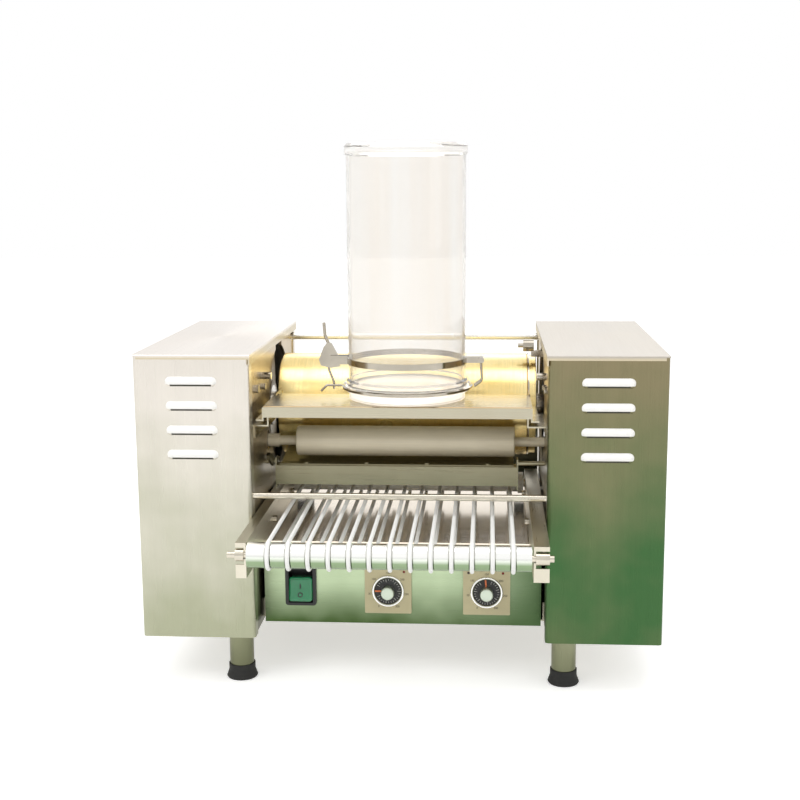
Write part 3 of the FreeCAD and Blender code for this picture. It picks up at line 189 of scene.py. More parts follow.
# Materials; the scales count noise cells per metre
GRAIN_STRETCH = 0.012
GRAIN = {"x": (GRAIN_STRETCH, 1.0, 1.0), "y": (1.0, GRAIN_STRETCH, 1.0), "z": (1.0, 1.0, GRAIN_STRETCH)}
GRAIN_SCALE = 900.0
BAND_SCALE = 75.0
BAND_OFFSET = (3.1, 1.7, 0.4)
REFLECTION_PATCH_SCALE = 9.0
MOULD_SCALE = 1800.0
WEAR_SCALE = 55.0
TURNED_SCALE = 700.0
TURNED_STRETCH = (1.0, 0.02, 0.02)
HEAT_SCALE = 14.0
HEAT_STRETCH = (0.6, 1.0, 1.0)
FLOW_SCALE = 60.0
FLOW_STRETCH = (1.0, 1.0, 0.03)
GRAIN_DEPTH = 0.15 * MM
FINE_DEPTH = 0.1 * MM
FLOW_DEPTH = 0.3 * MM
PLASTIC_IOR = 1.3


def brushed_metal(name, low, high, z_range, grain, roughness=0.3, streak=0.05, reflection_patch=0.2, metallic=1.0,
                  right_shade=None):
    """Metal brushed along one axis; its tint runs from low at the first height to high at the second,
    which on the housings, covers, walls, legs, panel, rollers, tray and rear plate is painted light,
    shade and reflection; broad noise patches over it are painted reflections.

    The last argument is a painted shade: a colour that the metal turns to on the right, with the X where it
    starts and ends.
    """
    shader = Shader(name)
    lines = shader.noise(GRAIN_SCALE, GRAIN[grain], detail=5.0, rough=0.7)
    bands = shader.noise(BAND_SCALE, GRAIN[grain], detail=3.0, offset=BAND_OFFSET)
    # Broad patches of painted reflection, then the painted light and shade by height
    reflection_noise = shader.noise(REFLECTION_PATCH_SCALE, detail=3.0)
    height = shader.remap(shader.axis("Z"), z_range[0], z_range[1], 0.0, 1.0)
    reflection_shift = shader.spread(reflection_noise, -reflection_patch, reflection_patch)
    blend = shader.add("ShaderNodeMath", operation="ADD", use_clamp=True)
    shader.join(height, blend.inputs[0])
    shader.join(reflection_shift, blend.inputs[1])
    tint = shader.mix(blend.outputs["Value"], low, high)
    if right_shade:
        colour, start, end = right_shade
        tint = shader.mix(shader.remap(shader.axis("X"), start, end, 0.0, 1.0), tint, colour)
    fine = shader.vary(tint, lines, streak, half=0.25)
    shader.join(shader.vary(fine, bands, streak / 2), shader.surface.inputs["Base Color"])
    shader.join(shader.spread(lines, roughness - 0.08, roughness + 0.1, half=0.3),
                shader.surface.inputs["Roughness"])
    shader.bump(lines, 0.12, GRAIN_DEPTH)
    shader.set(metallic=metallic, anisotropic=0.4)
    return shader.material


def plain_finish(name, colour, roughness, metallic=0.0, coat=0.0, bump=0.08, variation=0.08):
    """Plastic, rubber, plated or painted metal with a fine mould or cast grain."""
    shader = Shader(name)
    grain = shader.noise(MOULD_SCALE, detail=3.0)
    wear = shader.noise(WEAR_SCALE)
    shader.join(shader.vary(colour, wear, variation), shader.surface.inputs["Base Color"])
    shader.join(shader.spread(wear, roughness - 0.05, roughness + 0.05), shader.surface.inputs["Roughness"])
    shader.bump(grain, bump, FINE_DEPTH)
    shader.set(metallic=metallic, coat=coat)
    return shader.material


def gold_drum():
    """Bright gold coating: fine turned rings round the drum and faint heat clouds along it."""
    shader = Shader("gold_coating")
    rings = shader.noise(TURNED_SCALE, TURNED_STRETCH)
    clouds = shader.noise(HEAT_SCALE, HEAT_STRETCH)
    tint = shader.mix(shader.spread(clouds, 0.0, 1.0, half=0.15),
                      linear(240, 208, 132), linear(252, 238, 184))
    shader.join(shader.vary(tint, rings, 0.06), shader.surface.inputs["Base Color"])
    shader.join(shader.spread(clouds, 0.2, 0.3), shader.surface.inputs["Roughness"])
    shader.bump(rings, 0.08, FINE_DEPTH)
    shader.set(metallic=1.0)
    return shader.material


def clear_plastic(name, transmission, roughness, glow):
    """Clear moulded plastic with faint flow lines; its emission is painted light that whitens the wall."""
    shader = Shader(name)
    flow = shader.noise(FLOW_SCALE, FLOW_STRETCH, detail=3.0)
    tint = shader.mix(shader.spread(flow, 0.0, 1.0), linear(254, 250, 245), linear(255, 255, 254))
    shader.join(tint, shader.surface.inputs["Base Color"])
    shader.join(shader.spread(flow, roughness, roughness + 0.03), shader.surface.inputs["Roughness"])
    shader.bump(flow, 0.05, FLOW_DEPTH)
    shader.set(transmission=transmission, ior=PLASTIC_IOR, glow_colour=linear(255, 246, 232), glow=glow)
    return shader.material


# Light and surroundings
WHITE = (1.0, 1.0, 1.0, 1.0)
FLOOR_LIFT = 0.45
FLOOR_SIZE = 14.0
WORLD_FILL = 0.75
LAMP_TARGET = Vector((0.0, 0.0, 0.25))


def floor_material():
    """White floor that is lifted only where it is seen directly or in a reflection."""
    shader = Shader("studio_floor")
    rays = shader.add("ShaderNodeLightPath")
    seen = shader.add("ShaderNodeMath", operation="ADD", use_clamp=True)
    shader.join(rays.outputs["Is Camera Ray"], seen.inputs[0])
    shader.join(rays.outputs["Is Glossy Ray"], seen.inputs[1])
    lift = shader.add("ShaderNodeMath", operation="MULTIPLY")
    shader.join(seen.outputs["Value"], lift.inputs[0])
    lift.inputs[1].default_value = FLOOR_LIFT
    shader.join(lift.outputs["Value"], shader.surface.inputs["Emission Strength"])
    shader.set(colour=linear(243, 243, 242), roughness=0.9, specular=0.0, glow_colour=WHITE)
    return shader.material


def add_floor():
    mesh = bpy.data.meshes.new("studio_floor")
    half = FLOOR_SIZE / 2
    corners = [(-half, -half, 0), (half, -half, 0), (half, half, 0), (-half, half, 0)]
    mesh.from_pydata(corners, [], [(0, 1, 2, 3)])
    floor = bpy.data.objects.new("studio_floor", mesh)
    mesh.materials.append(floor_material())
    bpy.context.scene.collection.objects.link(floor)


def add_world():
    """White surroundings: full strength where seen, reflected or seen through, dimmer as soft light."""
    world = bpy.data.worlds.new("studio")
    bpy.context.scene.world = world
    world.use_nodes = True
    tree = world.node_tree
    background = tree.nodes["Background"]
    background.inputs["Color"].default_value = WHITE
    rays = tree.nodes.new("ShaderNodeLightPath")
    total = rays.outputs["Is Camera Ray"]
    for name in ("Is Glossy Ray", "Is Transmission Ray"):
        node = tree.nodes.new("ShaderNodeMath")
        node.operation = "ADD"
        node.use_clamp = True
        tree.links.new(total, node.inputs[0])
        tree.links.new(rays.outputs[name], node.inputs[1])
        total = node.outputs["Value"]
    strength = tree.nodes.new("ShaderNodeMapRange")
    strength.inputs["To Min"].default_value = WORLD_FILL
    strength.inputs["To Max"].default_value = 1.0
    tree.links.new(total, strength.inputs["Value"])
    tree.links.new(strength.outputs["Result"], background.inputs["Strength"])


def add_lamp(name, place, width, height, power):
    """A rectangular lamp that points at the middle of the machine."""
    data = bpy.data.lights.new(name, "AREA")
    data.shape = "RECTANGLE"
    data.size = width
    data.size_y = height
    data.energy = power
    lamp = bpy.data.objects.new(name, data)
    lamp.location = place
    lamp.rotation_euler = (LAMP_TARGET - Vector(place)).to_track_quat("-Z", "Y").to_euler()
    bpy.context.scene.collection.objects.link(lamp)


def add_lights():
    """A key from the left, a broad one above, a weak one from the right and one behind."""
    add_lamp("key_lamp", (-1.1, -1.2, 1.5), 1.1, 0.8, 9.0)
    add_lamp("top_lamp", (0.0, -0.3, 2.0), 1.8, 0.9, 9.0)
    add_lamp("fill_lamp", (1.6, -0.9, 0.9), 0.9, 1.2, 3.0)
    add_lamp("back_lamp", (0.3, 1.6, 1.2), 1.5, 0.8, 5.0)


# Mesh helpers
def new_piece(name, bm, material, body, smooth=True):
    """Puts a finished mesh in the scene; it rides on a body and takes a material slot."""
    mesh = bpy.data.meshes.new(name)
    bm.normal_update()
    bm.to_mesh(mesh)
    bm.free()
    for polygon in mesh.polygons:
        polygon.use_smooth = smooth
    mesh.materials.append(material)
    piece = bpy.data.objects.new(name, mesh)
    bpy.context.scene.collection.objects.link(piece)
    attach(piece, body)
    return piece


def sharpen(piece, degrees):
    """Keeps edges sharper than this angle crisp under smooth shading."""
    limit = math.radians(degrees)
    bm = bmesh.new()
    bm.from_mesh(piece.data)
    for edge in bm.edges:
        if len(edge.link_faces) == 2 and edge.calc_face_angle(0.0) > limit:
            edge.smooth = False
    bm.to_mesh(piece.data)
    bm.free()


def spin_profile(bm, points, place, toward, steps, ripple=0.0, ripple_count=0):
    """Turns (radius, height) points about an axis through place; ripple shapes the rim into flutes."""
    frame_turn = Vector((0, 0, 1)).rotation_difference(Vector(toward)).to_matrix()
    rings = []
    for radius, height in points:
        ring = []
        for step in range(steps):
            angle = 2 * math.pi * step / steps
            reach = radius * (1.0 + ripple * math.cos(ripple_count * angle))
            local = Vector((reach * math.cos(angle), reach * math.sin(angle), height))
            ring.append(bm.verts.new(Vector(place) + frame_turn @ local))
        rings.append(ring)
    for first, second in zip(rings, rings[1:]):
        for step in range(steps):
            after = (step + 1) % steps
            bm.faces.new((first[step], first[after], second[after], second[step]))
    bm.faces.new(list(reversed(rings[0])))
    bm.faces.new(rings[-1])


def join_rings(bm, rings):
    """Joins each ring of corners to the next, and the last to the first."""
    for index, ring in enumerate(rings):
        following = rings[(index + 1) % len(rings)]
        for step in range(len(ring)):
            after = (step + 1) % len(ring)
            bm.faces.new((ring[step], following[step], following[after], ring[after]))


def prism(bm, outline, left, right):
    """Draws a (y, z) outline out from left to right."""
    ends = [[bm.verts.new((x, y, z)) for y, z in outline] for x in (left, right)]
    bm.faces.new(ends[0])
    bm.faces.new(list(reversed(ends[1])))
    for index in range(len(outline)):
        after = (index + 1) % len(outline)
        bm.faces.new((ends[0][index], ends[1][index], ends[1][after], ends[0][after]))
    bmesh.ops.recalc_face_normals(bm, faces=bm.faces)


def block(bm, low, high):
    """A box between two opposite corners."""
    corners = [bm.verts.new((x, y, z)) for x in (low[0], high[0]) for y in (low[1], high[1])
               for z in (low[2], high[2])]
    for face in ((0, 1, 3, 2), (4, 6, 7, 5), (0, 4, 5, 1), (2, 3, 7, 6), (0, 2, 6, 4), (1, 5, 7, 3)):
        bm.faces.new([corners[index] for index in face])


def middle_of(node):
    """Middle of a CAD node's box."""
    low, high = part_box(node)
    return (low + high) / 2


def around(centre, radius, angle):
    """A point in an upright plane; angle 0 is up and grows clockwise seen from the front."""
    return centre + Vector((radius * math.sin(angle), 0, radius * math.cos(angle)))


# Conveyor cords: round loops over both rollers
CORD_COUNT = 13
CORD_RADIUS = 2.0 * MM
CORD_LINE_RADIUS = 12.6 * MM
CORD_TURN_STEPS = 28
CORD_SIDES = 16
SOURCE_CORD_SIDES = 6


def cord_loop(bm, x, front, rear):
    """One closed loop; each ring of corners stands square to the path."""
    path = []
    for centre, start in ((front, 90.0), (rear, 270.0)):
        for step in range(CORD_TURN_STEPS + 1):
            angle = math.radians(start + 180.0 * step / CORD_TURN_STEPS)
            outward = Vector((0, math.cos(angle), math.sin(angle)))
            path.append((Vector((x, centre.y, centre.z)) + outward * CORD_LINE_RADIUS, outward))
    rings = []
    for place, outward in path:
        ring = []
        for side in range(CORD_SIDES):
            turn = 2 * math.pi * side / CORD_SIDES
            step = outward * math.cos(turn) + Vector((1, 0, 0)) * math.sin(turn)
            ring.append(bm.verts.new(place + step * CORD_RADIUS))
        rings.append(ring)
    join_rings(bm, rings)


def add_cords(material):
    """Round loops in the places of the source's six-sided ones, whose corners stand past the round."""
    low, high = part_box("conveyor_cords")
    corner = CORD_RADIUS / math.cos(math.pi / SOURCE_CORD_SIDES)
    first = low.x + corner
    pitch = (high.x - corner - first) / (CORD_COUNT - 1)
    bm = bmesh.new()
    for number in range(CORD_COUNT):
        cord_loop(bm, first + number * pitch, middle_of("front_roller"), middle_of("rear_roller"))
    piece = new_piece("cord_loops", bm, material, "frame")
    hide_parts("conveyor_cords")


# Rocker switch
ROCKER_TILT = math.radians(-7.0)
ROCKER_PIN_REACH = 0.5 * MM
ROCKER_BOTTOM = -16.3 * MM
ROCKER_TOP = 9.0 * MM
ROCKER_FRONT = -9.0 * MM
ROCKER_TOP_FRONT = ROCKER_FRONT + 0.6 * MM
ROCKER_HOLLOW = -7.6 * MM
ROCKER_REAR = 3.5 * MM
ROCKER_EDGE = 3.0 * MM
ROCKER_EDGE_STEPS = 6
MARK_FRONT = ROCKER_HOLLOW - 1.1 * MM
MARK_DEPTH = 1.0 * MM
BAR_HALF_WIDTH = 0.5 * MM
BAR_LOW = -2.4 * MM
BAR_HIGH = 2.2 * MM
RING_MARK_HEIGHT = -9.0 * MM
RING_MARK_OUTER = 2.6 * MM
RING_MARK_INNER = 1.75 * MM
RING_MARK_STEPS = 32


def rocker_frame():
    """Turns the rocker's own upright space, with its axis at the origin, to its rest tilt."""
    joint = [item for item in frame["joints"] if item["child"] == "rocker"][0]
    return Matrix.Translation(Vector(joint["pos_m"])) @ Matrix.Rotation(ROCKER_TILT, 4, "X")


def add_rocker_cap(material):
    """The hollowed cap, which fills the lower two thirds of the opening, with round front edges."""
    low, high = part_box("rocker")
    half_width = (high.x - low.x) / 2 - ROCKER_PIN_REACH
    outline = [(ROCKER_FRONT, ROCKER_BOTTOM), (ROCKER_HOLLOW, (ROCKER_BOTTOM + ROCKER_TOP) / 2),
               (ROCKER_TOP_FRONT, ROCKER_TOP), (ROCKER_REAR, ROCKER_TOP), (ROCKER_REAR, ROCKER_BOTTOM)]
    bm = bmesh.new()
    prism(bm, outline, -half_width, half_width)
    rim = [edge for edge in bm.edges if edge.calc_face_angle(0.0) > math.radians(50)
           and min(corner.co.y for corner in edge.verts) < 0]
    bmesh.ops.bevel(bm, geom=rim, offset=ROCKER_EDGE, segments=ROCKER_EDGE_STEPS, affect="EDGES",
                    profile=0.5)
    bmesh.ops.transform(bm, matrix=rocker_frame(), verts=bm.verts)
    piece = new_piece("rocker_cap", bm, material, "rocker")
    sharpen(piece, 40)
    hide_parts("rocker")


def add_rocker_marks(material):
    """The bar and the ring that mark on and off, raised on the cap."""
    bm = bmesh.new()
    rear = MARK_FRONT + MARK_DEPTH
    block(bm, (-BAR_HALF_WIDTH, MARK_FRONT, BAR_LOW), (BAR_HALF_WIDTH, rear, BAR_HIGH))
    middle = Vector((0, 0, RING_MARK_HEIGHT))
    rings = [[bm.verts.new(around(middle, radius, 2 * math.pi * step / RING_MARK_STEPS) + Vector((0, y, 0)))
              for step in range(RING_MARK_STEPS)]
             for radius, y in ((RING_MARK_OUTER, rear), (RING_MARK_OUTER, MARK_FRONT),
                               (RING_MARK_INNER, MARK_FRONT), (RING_MARK_INNER, rear))]
    join_rings(bm, rings)
    bmesh.ops.recalc_face_normals(bm, faces=bm.faces)
    bmesh.ops.transform(bm, matrix=rocker_frame(), verts=bm.verts)
    new_piece("rocker_marks", bm, material, "rocker", smooth=False)


# Dial thermostats
SKIRT_RADIUS = 14.0 * MM
KNOB_RADIUS = 6.6 * MM
RING_OUTER = 16.5 * MM
RING_INNER = 14.4 * MM
RING_EDGE = 0.5 * MM
SKIRT_PROFILE = [(SKIRT_RADIUS * 0.5, -0.7 * MM), (SKIRT_RADIUS, -0.7 * MM), (SKIRT_RADIUS, 0.3 * MM),
                 (SKIRT_RADIUS - 0.5 * MM, 0.7 * MM), (SKIRT_RADIUS * 0.4, 0.7 * MM)]
SKIRT_STEPS = 64
KNOB_PROFILE = [(KNOB_RADIUS * 0.95, 0.5 * MM), (KNOB_RADIUS, 1.2 * MM), (KNOB_RADIUS, 9.8 * MM),
                (KNOB_RADIUS * 0.94, 10.6 * MM), (KNOB_RADIUS * 0.72, 11.0 * MM),
                (KNOB_RADIUS * 0.6, 10.7 * MM), (0.3 * MM, 10.6 * MM)]
KNOB_STEPS = 144
KNOB_FLUTES = 24
FLUTE_DEPTH = 0.035
RING_PROFILE = [(RING_INNER, 0.05 * MM), (RING_INNER, 1.7 * MM), (RING_INNER + RING_EDGE, 2.1 * MM),
                (RING_OUTER - RING_EDGE, 2.1 * MM), (RING_OUTER, 1.6 * MM), (RING_OUTER, 0.05 * MM)]
RING_STEPS = 96
POINTER_OVERLAP = 0.2 * MM
POINTER_EDGE = 0.6 * MM
POINTER_HALF_WIDTH = 0.75 * MM
POINTER_FRONT = -1.5 * MM
SCALE_MARKS = 25
SCALE_SWEEP = math.radians(300)
SCALE_EDGE = 1.0 * MM
LONG_MARK_EVERY = 4
LONG_MARK_INSET = 4.4 * MM
SHORT_MARK_INSET = 2.8 * MM
SCALE_HALF_WIDTH = 0.16 * MM
SCALE_FRONT = -0.78 * MM
INLAY_REAR = -0.6 * MM
FACE_NUMBERS = 7
NUMBER_STEP = 50
NUMBER_RADIUS = 19.2 * MM
NUMBER_SIZE = 3.0 * MM
NUMBER_PROUD = 0.05 * MM
NUMBER_THICKNESS = 0.06 * MM
LAMP_PROFILE = [(1.3 * MM, -0.1 * MM), (1.3 * MM, 0.4 * MM), (0.8 * MM, 0.9 * MM), (0.2 * MM, 1.05 * MM)]
LAMP_STEPS = 24
LAMP_HEIGHT = 20.5 * MM
LAMPS = ((-18.5 * MM, "led_off"), (16.5 * MM, "led_on"))


def dial_front(side):
    """Centre of the face's front plane, where the dial's joint has its place."""
    joint = [item for item in frame["joints"] if item["name"] == "dial_" + side + "_turn"][0]
    return Vector(joint["pos_m"])


def flat_bar(bm, centre, inner, outer, angle, half_width, front, rear):
    """A small radial bar on the dial between two radii, standing from rear to front."""
    radial = Vector((math.sin(angle), 0, math.cos(angle)))
    across = Vector((math.cos(angle), 0, -math.sin(angle)))
    corners = []
    for y in (front, rear):
        for radius, side in ((inner, -1), (outer, -1), (outer, 1), (inner, 1)):
            corners.append(bm.verts.new(centre + radial * radius + across * (half_width * side)
                                        + Vector((0, y, 0))))
    for face in ((0, 1, 2, 3), (7, 6, 5, 4), (0, 4, 5, 1), (1, 5, 6, 2), (2, 6, 7, 3), (3, 7, 4, 0)):
        bm.faces.new([corners[index] for index in face])


def add_number(name, text, place, material):
    """A plain number on the face, turned to a mesh."""
    curve = bpy.data.curves.new(name, "FONT")
    curve.body = text
    curve.size = NUMBER_SIZE
    curve.align_x = "CENTER"
    curve.align_y = "CENTER"
    curve.extrude = NUMBER_THICKNESS
    letter = bpy.data.objects.new(name + "_text", curve)
    letter.location = place
    letter.rotation_euler = (math.radians(90), 0, 0)
    bpy.context.scene.collection.objects.link(letter)
    bpy.context.view_layer.update()
    mesh = bpy.data.meshes.new_from_object(letter.evaluated_get(bpy.context.evaluated_depsgraph_get()))
    mesh.transform(letter.matrix_world)
    bpy.data.objects.remove(letter)
    mesh.materials.clear()
    mesh.materials.append(material)
    piece = bpy.data.objects.new(name, mesh)
    bpy.context.scene.collection.objects.link(piece)
    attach(piece, "frame")


def add_knob(side, body, centre, kit):
    """The turned skirt and the fluted knob on it."""
    bm = bmesh.new()
    spin_profile(bm, SKIRT_PROFILE, centre, FORWARD, SKIRT_STEPS)
    skirt = new_piece("dial_" + side + "_skirt", bm, kit["black"], body)
    sharpen(skirt, 35)
    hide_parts("dial_" + side)

    bm = bmesh.new()
    spin_profile(bm, KNOB_PROFILE, centre, FORWARD, KNOB_STEPS, ripple=FLUTE_DEPTH, ripple_count=KNOB_FLUTES)
    knob = new_piece("dial_" + side + "_knob", bm, kit["knob"], body)
    sharpen(knob, 50)


def add_scale(side, body, centre, pointer_angle, kit):
    """The pointer and the scale marks, which turn with the knob."""
    bm = bmesh.new()
    flat_bar(bm, centre, KNOB_RADIUS - POINTER_OVERLAP, SKIRT_RADIUS - POINTER_EDGE, pointer_angle,
             POINTER_HALF_WIDTH, POINTER_FRONT, INLAY_REAR)
    new_piece("dial_" + side + "_pointer", bm, kit["orange"], body, smooth=False)

    bm = bmesh.new()
    for number in range(SCALE_MARKS):
        angle = pointer_angle + SCALE_SWEEP * (number / (SCALE_MARKS - 1) - 0.5) + math.pi
        inset = LONG_MARK_INSET if number % LONG_MARK_EVERY == 0 else SHORT_MARK_INSET
        flat_bar(bm, centre, SKIRT_RADIUS - inset, SKIRT_RADIUS - SCALE_EDGE, angle, SCALE_HALF_WIDTH,
                 SCALE_FRONT, INLAY_REAR)
    new_piece("dial_" + side + "_scale", bm, kit["white"], body, smooth=False)


def add_face(side, centre, kit):
    """The fixed ring, numbers and lamps on the thermostat's face."""
    bm = bmesh.new()
    rings = [[bm.verts.new(around(centre, radius, 2 * math.pi * step / RING_STEPS) - Vector((0, height, 0)))
              for step in range(RING_STEPS)] for radius, height in RING_PROFILE]
    join_rings(bm, rings)
    bmesh.ops.recalc_face_normals(bm, faces=bm.faces)
    ring = new_piece("thermostat_" + side + "_ring", bm, kit["chrome"], "frame")
    sharpen(ring, 40)

    for number in range(FACE_NUMBERS):
        angle = SCALE_SWEEP * (number / (FACE_NUMBERS - 1) - 0.5)
        place = around(centre, NUMBER_RADIUS, angle) - Vector((0, NUMBER_PROUD, 0))
        name = "thermostat_%s_number_%d" % (side, number)
        add_number(name, str(number * NUMBER_STEP), place, kit["ink"])
    for number, (across, colour) in enumerate(LAMPS):
        bm = bmesh.new()
        spin_profile(bm, LAMP_PROFILE, centre + Vector((across, 0, LAMP_HEIGHT)), FORWARD, LAMP_STEPS)
        name = "thermostat_%s_lamp_%d" % (side, number)
        new_piece(name, bm, kit[colour], "frame")


def add_dial(side, body, pointer_angle, kit):
    """One dial thermostat; its knob rests with the pointer at an angle from upright."""
    centre = dial_front(side)
    add_knob(side, body, centre, kit)
    add_scale(side, body, centre, pointer_angle, kit)
    add_face(side, centre, kit)


# Louvre faces: near-white skins over the pressed hoods as a painted reflection, with a dark strip under each
# as painted shade of the opening
LOUVRE_COUNT = 4
LOUVRE_PITCH = 24.3 * MM
LOUVRE_FIRST_DROP = 26.5 * MM
LOUVRE_RADIUS = 6.5 * MM
LOUVRE_HALF_HEIGHT = 5.0 * MM
LOUVRE_HALF_RUN = 20.5 * MM
LOUVRE_END_SHARE = 0.985
LOUVRE_MOUTH = 2.6 * MM
LOUVRE_MOUTH_LOW = 4.6 * MM
LOUVRE_MOUTH_HALF = LOUVRE_HALF_RUN + 2.0 * MM
LOUVRE_END_STEPS = 9
LOUVRE_ROWS = 10
SKIN_PROUD = 0.12 * MM
SKIN_DEPTH = 0.5 * MM


def louvre_columns():
    """Steps along one louvre, close together over its round ends."""
    end = [LOUVRE_HALF_HEIGHT * LOUVRE_END_SHARE * math.sin(math.pi / 2 * step / LOUVRE_END_STEPS)
           for step in range(LOUVRE_END_STEPS + 1)]
    return [-LOUVRE_HALF_RUN - step for step in reversed(end)] + [LOUVRE_HALF_RUN + step for step in end]


def louvre_skin(bm, middle_x, middle_z, front_y):
    """A thin bulged sheet over one hood, made as a front and a back layer joined at the edges."""
    set_back = math.sqrt(LOUVRE_RADIUS ** 2 - LOUVRE_HALF_HEIGHT ** 2)
    layers = []
    for behind in (0.0, SKIN_DEPTH):
        columns = []
        for along in louvre_columns():
            over = max(0.0, abs(along) - LOUVRE_HALF_RUN)
            top = math.sqrt(LOUVRE_HALF_HEIGHT ** 2 - over ** 2)
            bottom = max(-LOUVRE_MOUTH, -top)
            column = []
            for row in range(LOUVRE_ROWS + 1):
                z = bottom + (top - bottom) * row / LOUVRE_ROWS
                bulge = math.sqrt(LOUVRE_RADIUS ** 2 - over ** 2 - z ** 2) - set_back
                y = front_y - bulge - SKIN_PROUD + behind
                column.append(bm.verts.new((middle_x + along, y, middle_z + z)))
            columns.append(column)
        layers.append(columns)
    front, back = layers
    for number in range(len(front) - 1):
        for row in range(LOUVRE_ROWS):
            bm.faces.new((front[number][row], front[number + 1][row], front[number + 1][row + 1],
                          front[number][row + 1]))
            bm.faces.new((back[number][row], back[number][row + 1], back[number + 1][row + 1],
                          back[number + 1][row]))
        for row in (0, LOUVRE_ROWS):
            bm.faces.new((front[number][row], back[number][row], back[number + 1][row],
                          front[number + 1][row]))
    for number in (0, len(front) - 1):
        for row in range(LOUVRE_ROWS):
            bm.faces.new((front[number][row], front[number][row + 1], back[number][row + 1],
                          back[number][row]))


def add_louvres(skin_material, dark_material):
    skins = bmesh.new()
    mouth_shades = bmesh.new()
    bulge = LOUVRE_RADIUS - math.sqrt(LOUVRE_RADIUS ** 2 - LOUVRE_HALF_HEIGHT ** 2)
    for side in ("left", "right"):
        low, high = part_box(side + "_cover")
        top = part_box(side + "_top_cover")[1].z
        middle_x = (low.x + high.x) / 2
        front_y = low.y + bulge
        for number in range(LOUVRE_COUNT):
            middle_z = top - LOUVRE_FIRST_DROP - number * LOUVRE_PITCH
            louvre_skin(skins, middle_x, middle_z, front_y)
            block(mouth_shades, (middle_x - LOUVRE_MOUTH_HALF, front_y - SKIN_PROUD, middle_z - LOUVRE_MOUTH_LOW),
                  (middle_x + LOUVRE_MOUTH_HALF, front_y + SKIN_DEPTH, middle_z - LOUVRE_MOUTH))
    bmesh.ops.recalc_face_normals(skins, faces=skins.faces)
    sharpen(new_piece("louvre_skins", skins, skin_material, "frame"), 50)
    new_piece("louvre_mouth_shades", mouth_shades, dark_material, "frame", smooth=False)


# Collar between the drum's right end and the wall, with a thin steel ring at the joint
COLLAR_RADIUS = 54.5 * MM
COLLAR_INNER = 40.0 * MM
COLLAR_LENGTH = 9.2 * MM
COLLAR_RING_RADIUS = 56.4 * MM
COLLAR_RING = 1.6 * MM
COLLAR_BEVEL = 0.8 * MM
COLLAR_STEPS = 96


def ring_sleeve(bm, axis, outline):
    """Turns a closed (x, radius) outline about the drum's axis."""
    rings = [[bm.verts.new((x, axis.y + radius * math.cos(2 * math.pi * step / COLLAR_STEPS),
                            axis.z + radius * math.sin(2 * math.pi * step / COLLAR_STEPS)))
              for step in range(COLLAR_STEPS)] for x, radius in outline]
    join_rings(bm, rings)
    bmesh.ops.recalc_face_normals(bm, faces=bm.faces)


def add_drum_collar(gold, steel):
    axis = middle_of("drum_shell")
    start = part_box("drum_shell")[1].x
    end = start + COLLAR_LENGTH
    bm = bmesh.new()
    ring_sleeve(bm, axis, [(start, COLLAR_INNER), (start, COLLAR_RADIUS),
                           (end - COLLAR_BEVEL, COLLAR_RADIUS), (end, COLLAR_RADIUS - COLLAR_BEVEL),
                           (end, COLLAR_INNER)])
    sharpen(new_piece("drum_collar", bm, gold, "drum"), 35)
    bm = bmesh.new()
    ring_sleeve(bm, axis, [(start, COLLAR_INNER), (start, COLLAR_RING_RADIUS),
                           (start + COLLAR_RING, COLLAR_RING_RADIUS), (start + COLLAR_RING, COLLAR_INNER)])
    sharpen(new_piece("drum_collar_ring", bm, steel, "drum"), 35)


# Folded cross plate behind the drum's lower edge, with an ear down each wall: a dark sheet that paints the
# shade under the drum and tray
SHADE_PLATE_BEHIND = 5.0 * MM
SHADE_PLATE_SHEET = 1.0 * MM
SHADE_PLATE_FOLD = 9.0 * MM
SHADE_PLATE_LOW = 176.0 * MM
SHADE_PLATE_HIGH = 209.0 * MM
SHADE_PLATE_END_GAP = 1.2 * MM
SHADE_PLATE_EAR_WIDTH = 27.0 * MM
SHADE_PLATE_EAR_LOW = 150.0 * MM


def add_rear_shade_plate(material):
    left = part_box("left_inner_wall")[1].x + SHADE_PLATE_END_GAP
    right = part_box("right_inner_wall")[0].x - SHADE_PLATE_END_GAP
    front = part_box("drum_shell")[1].y + SHADE_PLATE_BEHIND
    back = front + SHADE_PLATE_SHEET
    fold = front + SHADE_PLATE_FOLD
    outline = [(front, SHADE_PLATE_LOW), (fold, SHADE_PLATE_LOW), (fold, SHADE_PLATE_LOW + SHADE_PLATE_SHEET),
               (back, SHADE_PLATE_LOW + SHADE_PLATE_SHEET), (back, SHADE_PLATE_HIGH - SHADE_PLATE_SHEET),
               (fold, SHADE_PLATE_HIGH - SHADE_PLATE_SHEET), (fold, SHADE_PLATE_HIGH), (front, SHADE_PLATE_HIGH)]
    bm = bmesh.new()
    prism(bm, outline, left, right)
    for x in (left, right - SHADE_PLATE_EAR_WIDTH):
        block(bm, (x, front, SHADE_PLATE_EAR_LOW), (x + SHADE_PLATE_EAR_WIDTH, back, SHADE_PLATE_LOW))
    bmesh.ops.recalc_face_normals(bm, faces=bm.faces)
    new_piece("rear_shade_plate", bm, material, "frame", smooth=False)


# Screws on the rear: three down each side of the covers, four on the base, two on the inlet
SCREW_RADIUS = 3.4 * MM
SCREW_HEIGHT = 0.7 * MM
SCREW_PROFILE = [(SCREW_RADIUS, 0.0), (SCREW_RADIUS, SCREW_HEIGHT * 0.5),
                 (SCREW_RADIUS * 0.8, SCREW_HEIGHT), (SCREW_RADIUS * 0.3, SCREW_HEIGHT * 1.08)]
SCREW_STEPS = 24
SCREW_INSET = 8.0 * MM
COVER_SCREW_INSET = 30.0 * MM
INLET_SCREW_INSET = 4.2 * MM


